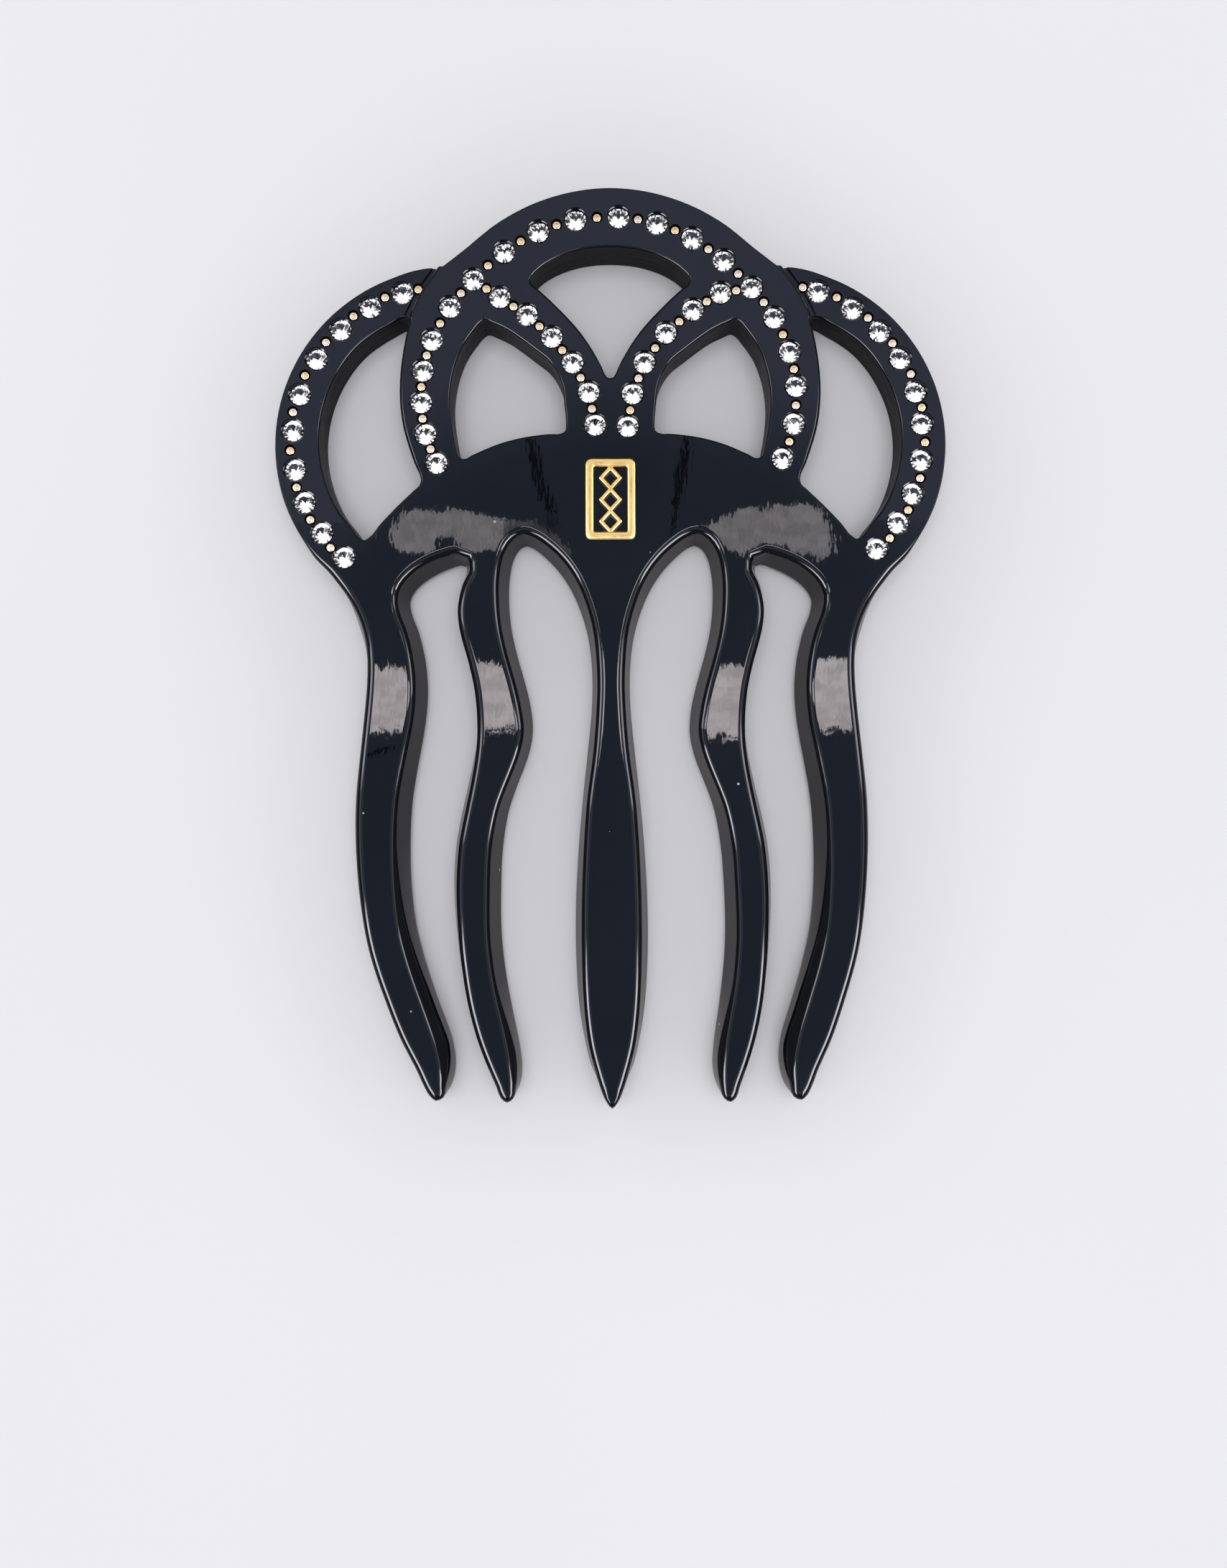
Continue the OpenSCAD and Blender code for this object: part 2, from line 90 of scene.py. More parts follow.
# Right half below the ring: the outer tooth, its gap, the inner tooth, its gap and the centre tooth
OUTER_TOOTH_ROWS = [
    (38.5, 13.6, 0.3),
    (37.2, 11.6, 0.7),
    (35.4, 9.7, 1),
    (33.7, 6.9, 1.5),
    (32.3, 3.3, 1.9),
    (31.5, 0.3, 1.8),
    (31.2, -3.2, 1.6),
    (31.5, -7.2, 1.6),
    (32.3, -12.8, 1.8),
    (32.95, -18.8, 1.9),
    (33.05, -23.6, 1.9),
    (32.6, -30.6, 1.8),
    (31.35, -38.2, 1.7),
    (29.5, -44, 1.6),
    (27.4, -49.5, 1.55),
    (25.85, -53.2, 1.75),
    (24.9, -55.2, 1.65),
    (24.1, -56.4, 1.55),
    (23, -57, 1.4),
    (21.95, -56.3, 1.1),
    (21.15, -54.7, 1.7),
    (20.8, -52.7, 2),
    (21.1, -49.8, 2.15),
    (22.4, -45.8, 2),
    (24.1, -40.3, 2.1),
    (25.3, -35.2, 2.2),
    (25.85, -30, 2.2),
    (25.95, -24.8, 2.2),
    (25.6, -18.8, 2.2),
    (24.7, -13.4, 2.1),
    (23.9, -8.8, 2),
    (23.6, -4.7, 2),
    (23.95, -0.7, 2),
    (24.8, 2.9, 2),
    (25.7, 5.4, 2),
    (25.85, 6.7, 2),
    (25.45, 7.7, 2),
    (24.5, 8.8, 2),
    (22.6, 10.1, 2),
    (20.6, 11, 1.9),
    (19.3, 11.4, 1.8),
]
INNER_TOOTH_ROWS = [
    (18.6, 11.2, 1.8),
    (18.55, 10.4, 1.9),
    (19.2, 8.8, 1.8),
    (19.55, 7, 1.6),
    (19.6, 5.4, 1.4),
    (19.2, 2.7, 1.2),
    (18.2, -1.1, 1.2),
    (17.4, -4.6, 1.2),
    (17.15, -7.9, 1.3),
    (17.35, -11.5, 1.5),
    (18.1, -15.5, 1.7),
    (19.1, -19.9, 1.8),
    (19.95, -24.2, 1.8),
    (20.35, -28.8, 1.8),
    (20.2, -34.7, 1.7),
    (19.7, -40, 1.6),
    (18.9, -45, 1.5),
    (17.75, -49.5, 1.45),
    (16.5, -53.2, 1.5),
    (15.6, -55.2, 1.4),
    (14.95, -56.4, 1.2),
    (14.05, -57.05, 1.2),
    (13.15, -56.4, 0.9),
    (12.5, -55, 1.45),
    (12.25, -53.3, 1.7),
    (12.4, -51, 1.75),
    (13.05, -47, 1.8),
    (13.85, -42, 2),
    (14.35, -36.8, 2.1),
    (14.35, -30.5, 2.1),
    (13.9, -24, 2.1),
    (13.1, -19.8, 2),
    (11.8, -16.2, 1.9),
    (10.65, -13.1, 1.9),
    (10.1, -10.2, 1.9),
    (10.25, -7.6, 2),
    (11, -4.1, 2),
    (12, -0.5, 2),
    (12.75, 2.8, 2),
    (13.1, 6.5, 2),
    (12.95, 10, 2),
    (12.4, 12.3, 1.9),
    (11.7, 13.4, 1.8),
]
CENTRE_TOOTH_ROWS = [
    (10.8, 13.85, 1.8),
    (9.9, 13.5, 1.8),
    (8.6, 12.5, 1.9),
    (6.8, 10.65, 2),
    (5.2, 8.3, 2),
    (3.9, 5.4, 1.9),
    (3, 2.3, 1.8),
    (2.5, -1.4, 1.7),
    (2.4, -4.5, 1.7),
    (2.5, -7.2, 1.7),
    (3, -12.5, 1.8),
    (3.7, -19, 1.65),
    (4.25, -25.4, 1.75),
    (4.6, -32.5, 1.85),
    (4.55, -40.3, 1.85),
    (4.15, -45.8, 1.75),
    (3.4, -50.2, 1.6),
    (2.6, -53.3, 1.6),
    (1.6, -55.4, 1.25),
    (0.75, -56.95, 0.65),
    (0, -57.9, 1.25),
]

# Right half of the window at the top, from its top to the point below
TOP_WINDOW_ROWS = [
    (0, 50.45),
    (4.3, 49.95),
    (7.15, 48.9),
    (8.4, 48.15),
    (9.6, 47.05),
    (10, 46.5),
    (9.85, 45.95),
    (8.95, 45.2),
    (6.35, 42.75),
    (3.8, 39.95),
    (2.1, 37.45),
    (1, 35.4),
    (0.65, 34.6),
    (0.4, 34.2),
    (0, 34.1),
]
# The window between the centre arch and the right inner arc
ARC_WINDOW_ROWS = [
    (15.75, 41.35),
    (16.25, 41.05),
    (17.1, 40.05),
    (18.6, 37.8),
    (19.45, 35.6),
    (19.95, 33.2),
    (20.1, 31.1),
    (19.95, 28.9),
    (19.6, 26.6),
    (19.3, 25.1),
    (19.05, 24.3),
    (18.4, 24),
    (17.3, 24.5),
    (14.1, 25.85),
    (10.85, 26.7),
    (7.6, 27.1),
    (6.1, 27.2),
    (5.65, 27.5),
    (5.57, 28.4),
    (5.75, 30.7),
    (6.05, 33.2),
    (7.65, 36.2),
    (9.55, 37.75),
    (11.2, 39),
    (12.9, 40.15),
    (14.6, 40.95),
]
# The window of the right side ring: above its round outer side, and below and behind that
RING_WINDOW_TOP_ROWS = [(25.9, 41.95), (28.1, 40.95)]
RING_WINDOW_ANGLES = (44, 31.5, 19, 6.5, -6, -18.5, -31)
RING_WINDOW_BACK_ROWS = [
    (32.6, 15.6),
    (31.5, 14.15),
    (30.9, 13.85),
    (30.35, 14.15),
    (28.95, 15.8),
    (26.9, 17.95),
    (24.7, 20.05),
    (23.95, 20.75),
    (23.8, 21.2),
    (23.85, 21.7),
    (24.55, 23.35),
    (25.3, 25.5),
    (26, 28),
    (26.4, 31),
    (26.4, 34.15),
    (26.05, 37.3),
    (25.5, 40.1),
    (25.2, 41.4),
    (25.35, 41.9),
]

# The seam where the right ring meets the arch, the area beyond it, and where its dip starts and is full
SEAM_ROWS = [(20.3, 50), (21.7, 48), (23.7, 45.1), (25.3, 41.95)]
BEYOND_SEAM_ROWS = [(27, 40.2), (30, 30), (31, 15), (60, 15), (60, 60), (20.3, 60)]
DIP_START = 16
DIP_FULL = 45
DIP_SLOPE = RING_DIP / (DIP_FULL - DIP_START)

# Middle line of the centre arch from its top down one side, which starts a little left of the middle
ARCH_PATH_START = -0.2
ARCH_PATH_ROWS = [
    (0, 54.3),
    (4.1, 53.9),
    (8.8, 52.4),
    (13, 49.9),
    (16.9, 46.5),
    (20, 42.8),
    (22.2, 38.7),
    (23.3, 34.9),
    (23.5, 31),
    (23, 27.2),
    (21.7, 23.7),
    (21, 22.2),
]
# Distance of each stone of the centre arch from the top along that line, left ones first
ARCH_STONE_PLACES = [
    -44.3, -40.4, -36.4, -32.4, -28.4, -23.7, -19.2, -14, -9, -4.1,
    1.3, 6.2, 11, 15.8, 20.7, 25.4, 30.1, 34.5, 39.2, 43.8,
]
# Stones of each inner arc from its top down, as on the right side
LEFT_ARC_PLACES = [(13.8, 44.2), (10.4, 42), (7.3, 39.2), (4.7, 36), (2.7, 32.3), (1.9, 28.2)]
RIGHT_ARC_PLACES = [(13.9, 44.7), (10.4, 42.6), (7, 39.7), (4.3, 36), (2.8, 32.1), (2.2, 28)]
# Stones of the centre arch at the heads of the left and the right inner arc, counted from 0
LEFT_ARC_HEAD = 6
RIGHT_ARC_HEAD = 14
# Stones of the side rings: centre and radius of their circle, and their angles from its right
LEFT_STONE_CIRCLE = (20.2, 26.3)
RIGHT_STONE_CIRCLE = (19.5, 26.6)
STONE_CIRCLE_RADIUS = 19.75
LEFT_RING_STONE_ANGLES = [72.5, 59.5, 46, 32, 17.5, 4, -10.5, -23, -36, -48]
RIGHT_RING_STONE_ANGLES = [70, 56, 43, 30.5, 17, 5, -8.5, -21.2, -33.2, -45.5]
# The pins between them lie on a wider circle, and one more pin lies this many degrees past the top stone
PIN_CIRCLE_RADIUS = 20.05
RING_TOP_PIN_STEP = 5.9

# A stone is a round brilliant: shares of its width, and of its depth or radius
TABLE_SHARE = 0.56
CROWN_SHARE = 0.15
GIRDLE_SHARE = 0.03
PAVILION_SHARE = 0.42
KITE_HEIGHT_SHARE = 0.52
KITE_REACH_SHARE = 0.8
LOWER_FACET_REACH = 0.24
STONE_SIDES = 8

# A pin, and the emblem's place, corners, air gap and row of lozenges
PIN_LENGTH = 1.1
PIN_DOME = 0.002
EMBLEM_PLACE = (0, 18.75)
EMBLEM_CORNER = 0.8
EMBLEM_GAP = 0.05
LOZENGE_COUNT = 3
LOZENGE_WIDTH = 3
LOZENGE_BAR = 0.62
LOZENGE_OVERLAP = 0.5
LOZENGE_SINK = 0.15
LOZENGE_EASE = 0.06

# The four outer teeth lean below this height on the sheet, and their rows lie past this distance aside
LEAN_START = -15
LEAN_SIDE = 8

# A tooth's front edge rolls off gently and then sharply, down to a side that slopes by the draft
GENTLE_ROLL = 1.5
GENTLE_ROLL_END = 24
SHARP_ROLL = 0.8
TOOTH_DRAFT = 20
# Inset of the flat front from which that roll is full
FULL_ROLL_INSET = 1.15
# Towards the tips the outer teeth's inner sides are bevelled by an angle, above a low upright wall
BEVEL_ANGLE = 42
BEVEL_FOOT = 0.15
# Slope of the rolled edge where a bevel meets it
BEVEL_TOP_ROLL = 40
# Columns: where a bevel starts, is full, begins to end and has ended, and its share
OUTER_TOOTH_BEVEL = (-24, -44, -51, -56, 1)
INNER_TOOTH_BEVEL = (-43, -50, -52, -56, 0.6)
# Distance from the middle that parts an outer tooth from an inner one
BETWEEN_TEETH = 18.6
# The small rounds of the sawn edges, the groove along the seam, and the broken edge of a pocket
CROWN_ROUND = 0.15
WINDOW_ROUND = 0.3
ARCH_OVER_RING_ROUND = 0.5
BACK_ROUND = 0.2
SEAM_GROOVE_WIDTH = 0.75
SEAM_GROOVE_DEPTH = 0.35
POCKET_BREAK = 0.025
# Steps of a small round edge in degrees, and the longest straight piece of a seam
ROUND_ANGLES = (0, 18, 36, 54, 70, 82, 90)
FRAME_ROUND_ANGLES = (0, 22.5, 45, 67.5, 90)
SEAM_STEP = 0.4
# Inset of the flat front at which the small rounds of an upright edge have gone
UPRIGHT_INSET = 0.8
# Height above the widest level over which a wall's points come to follow the dip of a ring's face
DIP_RISE = 2
# The arch's wider round behind a ring's window: how far aside it lies, where it starts, and its run-in
WIDE_ROUND_SIDE = 26.6
WIDE_ROUND_START = 21.5
WIDE_ROUND_RUN = 3
# Height above the sheet of the forms that cut through it, and of those that cut a ring's slope
CUTTER_RISE = 2
SLOPE_CUTTER_RISE = 3
# Reach of the seam's groove past the seam, as a share of its width
GROOVE_OVERLAP = 0.02
# Depth down to which the mouth of a hole follows a ring's slope, and the sides of the holes
MOUTH_DEPTH = 0.2
POCKET_SIDES = 40
PIN_HOLE_SIDES = 28
# The least distance from the middle at which a face counts as a ring's
RING_FACE_SIDE = 21
# Upright walls above the teeth keep the saw's finish: their greatest slope, and where they start
SAWN_SLOPE = 0.05
SAWN_START = 13.9
# How far a corner's normal may turn from a flat face's, in degrees, and a point lie off that face
FLAT_ANGLE = 24
FLAT_SLACK = 0.002
# The most that a stone leans by chance, in degrees, and the range of a pin's chance rise
STONE_LEAN = 2.5
PIN_RISES = (-0.03, 0.02)


# Smooth lines through rows

def rows_of(table):
    return [Vector((*row, 0)) if len(row) == 2 else Vector(row) for row in table]


def flat_distance(a, b):
    return math.hypot(b[X] - a[X], b[Y] - a[Y])


def mirrored(row):
    return Vector((-row[X], row[Y], row[INSET]))


def mirrored_rows(rows):
    return [mirrored(row) for row in reversed(rows)]


def direction(rows, i, closed):
    """Change of a row per millimetre along a smooth line that passes through all rows."""
    here = rows[i]
    before = rows[i - 1] if closed or i > 0 else here
    after = rows[(i + 1) % len(rows)] if closed or i < len(rows) - 1 else here
    back = flat_distance(before, here)
    ahead = flat_distance(here, after)
    if back == 0:
        return (after - here) / ahead
    if ahead == 0:
        return (here - before) / back
    return ((here - before) * (ahead / back) + (after - here) * (back / ahead)) / (back + ahead)


def between(rows, i, u, closed=False):
    """Row at share u of the way from row i to the next one."""
    following = (i + 1) % len(rows)
    length = flat_distance(rows[i], rows[following])
    return (
        rows[i] * ((1 + 2 * u) * (1 - u) ** 2)
        + rows[following] * (u ** 2 * (3 - 2 * u))
        + direction(rows, i, closed) * (length * u * (1 - u) ** 2)
        - direction(rows, following, closed) * (length * u ** 2 * (1 - u))
    )


def piece_counts(rows, step, closed=False):
    pairs = zip(rows, rows[1:] + rows[:1]) if closed else zip(rows, rows[1:])
    return [math.ceil(flat_distance(a, b) / step - 1e-9) for a, b in pairs]


def smooth(rows, counts, closed=False):
    """All rows of the smooth line, without the last one of an open line."""
    return [between(rows, i, k / pieces, closed) for i, pieces in enumerate(counts) for k in range(pieces)]


def open_line(rows, step):
    """The smooth open line through rows, with its last row."""
    return smooth(rows, piece_counts(rows, step)) + [rows[-1]]


def along(rows, length):
    """Point of a smooth open line at a distance from its start, measured along its rows."""
    i = 0
    piece = flat_distance(rows[0], rows[1])
    while length > piece and i < len(rows) - 2:
        length -= piece
        i += 1
        piece = flat_distance(rows[i], rows[i + 1])
    return between(rows, i, length / piece)


def right_of(line):
    """Unit vector to the right of a direction on the sheet."""
    return Vector((line.y, -line.x, 0)).normalized()


def inward_at(loop, i):
    """Unit vector to the right of the way that a closed loop runs."""
    return right_of(loop[(i + 1) % len(loop)] - loop[i - 1])


def circle_points(at, radius, sides):
    angles = [2 * math.pi * k / sides for k in range(sides)]
    return [(at[X] + radius * math.cos(angle), at[Y] + radius * math.sin(angle)) for angle in angles]


def round_edge(radius, angles=ROUND_ANGLES):
    """Section of a round edge from its wall up: how far it has come in, and how far it lies below its top."""
    return [
        (radius * (1 - math.cos(angle)), radius * (1 - math.sin(angle)))
        for angle in map(math.radians, angles)
    ]


# The fork's outline

def leaned(row):
    """Moves a row of an outer tooth to the right, more towards the tip."""
    if abs(row[X]) < LEAN_SIDE or row[Y] > LEAN_START:
        return row
    share = (LEAN_START - row[Y]) / (LEAN_START + FORK_LENGTH / 2)
    return row + Vector((TIP_LEAN * share ** 2, 0, 0))


def on_circle(centre, radius, degrees):
    angle = math.radians(degrees)
    return Vector((centre[X] + radius * math.cos(angle), centre[Y] + radius * math.sin(angle), 0))


def outline_stretches():
    """The crown's arch, and the rest of the outline, as open stretches that share their end points."""
    arch = rows_of(ARCH_ROWS)
    ring = [on_circle(RING_CENTRE, RING_RADIUS, angle) for angle in RING_ANGLES]
    half = ring + rows_of(OUTER_TOOTH_ROWS) + rows_of(INNER_TOOTH_ROWS) + rows_of(CENTRE_TOOTH_ROWS)
    crown = mirrored_rows(arch[1:]) + arch
    rest = [leaned(row) for row in [arch[-1]] + half + mirrored_rows(half[:-1]) + [mirrored(arch[-1])]]
    return [open_line(rows, OUTLINE_STEP) for rows in (crown, rest)]


def seam_x(y):
    """Where the seam, or the line behind a ring's window, runs at a height on the sheet."""
    line = SEAM_ROWS + BEYOND_SEAM_ROWS[:3]
    for (high_x, high_y), (low_x, low_y) in zip(line, line[1:]):
        if low_y <= y <= high_y:
            return high_x + (low_x - high_x) * (high_y - y) / (high_y - low_y)
    return math.inf


def dip_at(x, y):
    """How far the face lies below the front: nothing on the arch and teeth, more towards a ring's top."""
    if y <= DIP_START or abs(x) < seam_x(y):
        return 0
    return (y - DIP_START) * DIP_SLOPE


def slope_height(y):
    """Height of the plane that a ring's dipped face lies in."""
    return SHEET_THICKNESS - (y - DIP_START) * DIP_SLOPE


def face_height(y, dipped):
    return slope_height(y) if dipped else SHEET_THICKNESS


def rolled(degrees):
    """Where a tooth's front edge slopes by an angle: how far in from the flat, and how far below it."""
    gentle = math.radians(min(degrees, GENTLE_ROLL_END))
    sharp = math.radians(max(degrees, GENTLE_ROLL_END))
    turn = math.radians(GENTLE_ROLL_END)
    aside = GENTLE_ROLL * math.sin(gentle) + SHARP_ROLL * (math.sin(sharp) - math.sin(turn))
    below = GENTLE_ROLL * (1 - math.cos(gentle)) + SHARP_ROLL * (math.cos(turn) - math.cos(sharp))
    return aside, below


def tooth_levels():
    """
    Section of a tooth's side, as height, share of the wall's own inset, how far the roll has come in past
    the wall, and the level's place on a bevel: its drop below the bevel's foot and its inset, if it has one.
    """
    whole_roll, wall_depth = rolled(90 - TOOTH_DRAFT)
    wall_top = SHEET_THICKNESS - wall_depth
    levels = [
        (0, 0.42, 0, None),
        (0.06, 0.28, 0, None),
        (0.2, 0.17, 0, None),
        (0.45, 0.07, 0, None),
        (0.75, 0.02, 0, None),
        (WIDEST_HEIGHT, 0, 0, None),
    ]
    levels += [
        (WIDEST_HEIGHT + (wall_top - WIDEST_HEIGHT) * share, share, 0, (drop, 0))
        for share, drop in ((0.06, 1.8), (0.94, 0.4))
    ]
    bevel_feet = {70: (0.25, 0.01), 60: (0.12, 0.06), 50: (0, BEVEL_FOOT)}
    for degrees in (70, 60, 50, 40, 32, 24, 20, 16, 12, 8, 4, 0):
        aside, below = rolled(degrees)
        levels.append((SHEET_THICKNESS - below, 1, whole_roll - aside, bevel_feet.get(degrees)))
    return levels


def bevel_share(row, inward):
    """How much of a bevel a row of the outline has: only the inner sides of the four outer teeth have one."""
    if abs(row[X]) < LEAN_SIDE or row[X] * inward.x <= 0:
        return 0
    bevel = OUTER_TOOTH_BEVEL if abs(row[X]) > BETWEEN_TEETH else INNER_TOOTH_BEVEL
    start, full, ending, end, share = bevel
    rise = min(max((start - row[Y]) / (start - full), 0), 1)
    fall = min(max((row[Y] - end) / (ending - end), 0), 1)
    return share * rise * fall


def bevel_foot_height(inset):
    """Height of the lower edge of a bevel that runs up to a flat front which stands in by the inset."""
    aside, below = rolled(BEVEL_TOP_ROLL)
    run = inset - aside - BEVEL_FOOT
    return SHEET_THICKNESS - below - max(run, 0) * math.tan(math.radians(BEVEL_ANGLE))


def round_reach(height, top, radius):
    """How far a small round of an upright edge has come in at a height."""
    rise = min(max(height - (top - radius), 0), radius)
    return radius - math.sqrt(radius ** 2 - rise ** 2)


def fork_blank():
    """The whole outer form, with a step at each ring's edge that the ring's slope then takes off."""
    stretches = outline_stretches()
    closed = stretches[0][:-1] + stretches[1][:-1]
    starts = (0, len(stretches[0]) - 1)
    counts = [piece_counts(rows, FINE_STEP) for rows in stretches]
    width = max(row[X] for row in closed) - min(row[X] for row in closed)
    length = max(row[Y] for row in closed) - min(row[Y] for row in closed)
    fit = (FORK_WIDTH / width, FORK_LENGTH / length)

    whole_roll, _ = rolled(90 - TOOTH_DRAFT)

    def fine_loop(level_height, share, past_wall, on_bevel):
        """The level's loop with the rows' insets, and the heights of its points."""
        loop, heights = [], []
        for rows, pieces, start in zip(stretches, counts, starts):
            moved, raised = [], []
            for k, row in enumerate(rows):
                inward = inward_at(closed, (start + k) % len(closed))
                roll = min(1, row[INSET] / FULL_ROLL_INSET)
                inset = share * (row[INSET] - whole_roll * roll) + past_wall * roll
                height = level_height
                if on_bevel is not None:
                    drop, bevel_inset = on_bevel
                    bevelled = bevel_share(row, inward)
                    inset += (bevel_inset - inset) * bevelled
                    height += (bevel_foot_height(row[INSET]) - drop - height) * bevelled
                place = row + inward * inset
                moved.append(Vector((place[X], place[Y], row[INSET])))
                raised.append(Vector((place[X], place[Y], height)))
            loop += smooth(moved, pieces)
            heights += [point.z for point in smooth(raised, pieces)]
        return loop, heights

    loops = []
    for section in tooth_levels():
        loop, heights = fine_loop(*section)
        level = []
        for i, (row, height) in enumerate(zip(loop, heights)):
            upright = max(0, 1 - row[INSET] / UPRIGHT_INSET)
            reach = round_reach(height, SHEET_THICKNESS, CROWN_ROUND)
            reach += round_reach(-height, 0, BACK_ROUND)
            place = row + inward_at(loop, i) * (reach * upright)
            x, y = place[X] * fit[X], place[Y] * fit[Y]
            dip = dip_at(row[X], row[Y]) * min(max((height - WIDEST_HEIGHT) / DIP_RISE, 0), 1)
            level.append((x, y, height - dip))
        loops.append(level)
    loops.append([(x, y, SHEET_THICKNESS) for x, y, _ in loops[-1]])
    return loops


# Meshes

def bridge(form, rings):
    """Faces from each ring of as many vertices to the next one."""
    for low, high in zip(rings, rings[1:]):
        for i in range(len(low)):
            j = (i + 1) % len(low)
            form.faces.new((low[i], low[j], high[j], high[i]))


def closed_form(name, loops):
    """A closed mesh through loops of equal length, from the lowest to the highest."""
    form = bmesh.new()
    rings = [[form.verts.new(point) for point in loop] for loop in loops]
    bridge(form, rings)
    form.faces.new(list(reversed(rings[0])))
    form.faces.new(rings[-1])
    bmesh.ops.remove_doubles(form, verts=form.verts, dist=0.0005)
    bmesh.ops.recalc_face_normals(form, faces=form.faces)
    return piece_from(form, name)


def piece_from(form, name):
    mesh = bpy.data.meshes.new(name)
    form.to_mesh(mesh)
    form.free()
    piece = bpy.data.objects.new(name, mesh)
    bpy.context.collection.objects.link(piece)
    return piece


def joined(name, pieces):
    """One object made of several, which are discarded."""
    form = bmesh.new()
    for piece in pieces:
        form.from_mesh(piece.data)
        discard(piece)
    return piece_from(form, name)


def discard(piece):
    mesh = piece.data
    bpy.data.objects.remove(piece)
    bpy.data.meshes.remove(mesh)


def combine(body, tool, operation):
    """Cuts a tool's form out of a body, or joins it on, and discards the tool."""
    cut = body.modifiers.new("Cut", "BOOLEAN")
    cut.operation = operation
    cut.solver = "MANIFOLD"
    cut.object = tool
    finished = bpy.data.meshes.new_from_object(body.evaluated_get(bpy.context.evaluated_depsgraph_get()))
    body.modifiers.clear()
    old = body.data
    body.data = finished
    bpy.data.meshes.remove(old)
    discard(tool)


def to_metres(piece):
    piece.data.transform(Matrix.Scale(MM, 4))


def shade(piece, sharp_degrees, flat_at=None):
    """Smooth shading with hard edges past an angle, and exact normals where flat_at knows the plane."""
    mesh = piece.data
    form = bmesh.new()
    form.from_mesh(mesh)
    for face in form.faces:
        face.smooth = True
    sharp = math.radians(sharp_degrees)
    for edge in form.edges:
        edge.smooth = len(edge.link_faces) == 2 and edge.calc_face_angle(0) < sharp
    form.to_mesh(mesh)
    form.free()
    if flat_at is None:
        return
    normals = [Vector(corner.vector) for corner in mesh.corner_normals]
    for loop in mesh.loops:
        plane = flat_at(mesh.vertices[loop.vertex_index].co)
        if plane is not None and normals[loop.index].dot(plane) > math.cos(math.radians(FLAT_ANGLE)):
            normals[loop.index] = plane
    mesh.normals_split_custom_set(normals)


# Cutters for the fork

def window_cutter(name, rows, wide_edge=None):
    """A form through the sheet whose mouth flares, so that it leaves round edges."""
    loop = smooth(rows, piece_counts(rows, WINDOW_STEP, True), True)
    area = sum(a[X] * b[Y] - b[X] * a[Y] for a, b in zip(loop, loop[1:] + loop[:1]))
    if area > 0:
        loop.reverse()
    edges = []
    for i, row in enumerate(loop):
        radius = WINDOW_ROUND
        if wide_edge is not None:
            radius += (ARCH_OVER_RING_ROUND - WINDOW_ROUND) * wide_edge(row)
        edges.append((row, -inward_at(loop, i), SHEET_THICKNESS - dip_at(row[X], row[Y]), radius))
    loops = []
    for height, reach in ((-1, 1), (0, 1), (0.04, 0.4), (0.12, 0)):
        loops.append([(*(row + out * (BACK_ROUND * reach)).xy, height) for row, out, _, _ in edges])
    for reach, drop in round_edge(1):
        loops.append([
            (*(row + out * (radius * reach)).xy, front - radius * drop)
            for row, out, front, radius in edges
        ])
    loops.append([(x, y, SHEET_THICKNESS + CUTTER_RISE) for x, y, _ in loops[-1]])
    return closed_form(name, loops)


def windows_cutter():
    top = rows_of(TOP_WINDOW_ROWS)
    arc = rows_of(ARC_WINDOW_ROWS)
    outer_side = [on_circle(RING_WINDOW_CENTRE, RING_WINDOW_RADIUS, angle) for angle in RING_WINDOW_ANGLES]
    ring = rows_of(RING_WINDOW_TOP_ROWS) + outer_side + rows_of(RING_WINDOW_BACK_ROWS)

    def behind_ring(row):
        beside_arch = abs(row[X]) <= WIDE_ROUND_SIDE and row[Y] > WIDE_ROUND_START
        if not beside_arch or dip_at(row[X], row[Y]) > 0:
            return 0
        return min(1, (row[Y] - WIDE_ROUND_START) / WIDE_ROUND_RUN)

    return joined("windows", [
        window_cutter("top", top + mirrored_rows(top[1:-1])),
        window_cutter("right_arc", arc),
        window_cutter("left_arc", mirrored_rows(arc)),
        window_cutter("right_ring", ring, behind_ring),
        window_cutter("left_ring", mirrored_rows(ring), behind_ring),
    ])


def ring_slope_cutter(side):
    """Takes a ring's face down to its slope and rounds the arch's edge above the seam."""
    seam = open_line(rows_of(SEAM_ROWS), SEAM_STEP)
    loop = seam + rows_of(BEYOND_SEAM_ROWS)
    towards_arch = [right_of(after - before) for before, after in zip(seam[:1] + seam, seam[1:] + seam[-1:])]
    roof = SHEET_THICKNESS + SLOPE_CUTTER_RISE
    loops = [[(row[X], row[Y], slope_height(row[Y])) for row in loop]]
    for degrees, (reach, drop) in zip(ROUND_ANGLES, round_edge(ARCH_OVER_RING_ROUND)):
        level = [
            (*(row + out * reach).xy, SHEET_THICKNESS - drop)
            for row, out in zip(seam, towards_arch)
        ]
        # The corners away from the seam only have to rise with each level
        wall_share = 0.2 + 0.6 * degrees / 90
        for row in loop[len(seam):]:
            foot = slope_height(row[Y])
            level.append((row[X], row[Y], foot + (roof - foot) * wall_share))
        loops.append(level)
    loops.append([(x, y, roof) for x, y, _ in loops[-1]])
    return closed_form("ring_slope", [[(side * x, y, z) for x, y, z in level] for level in loops])


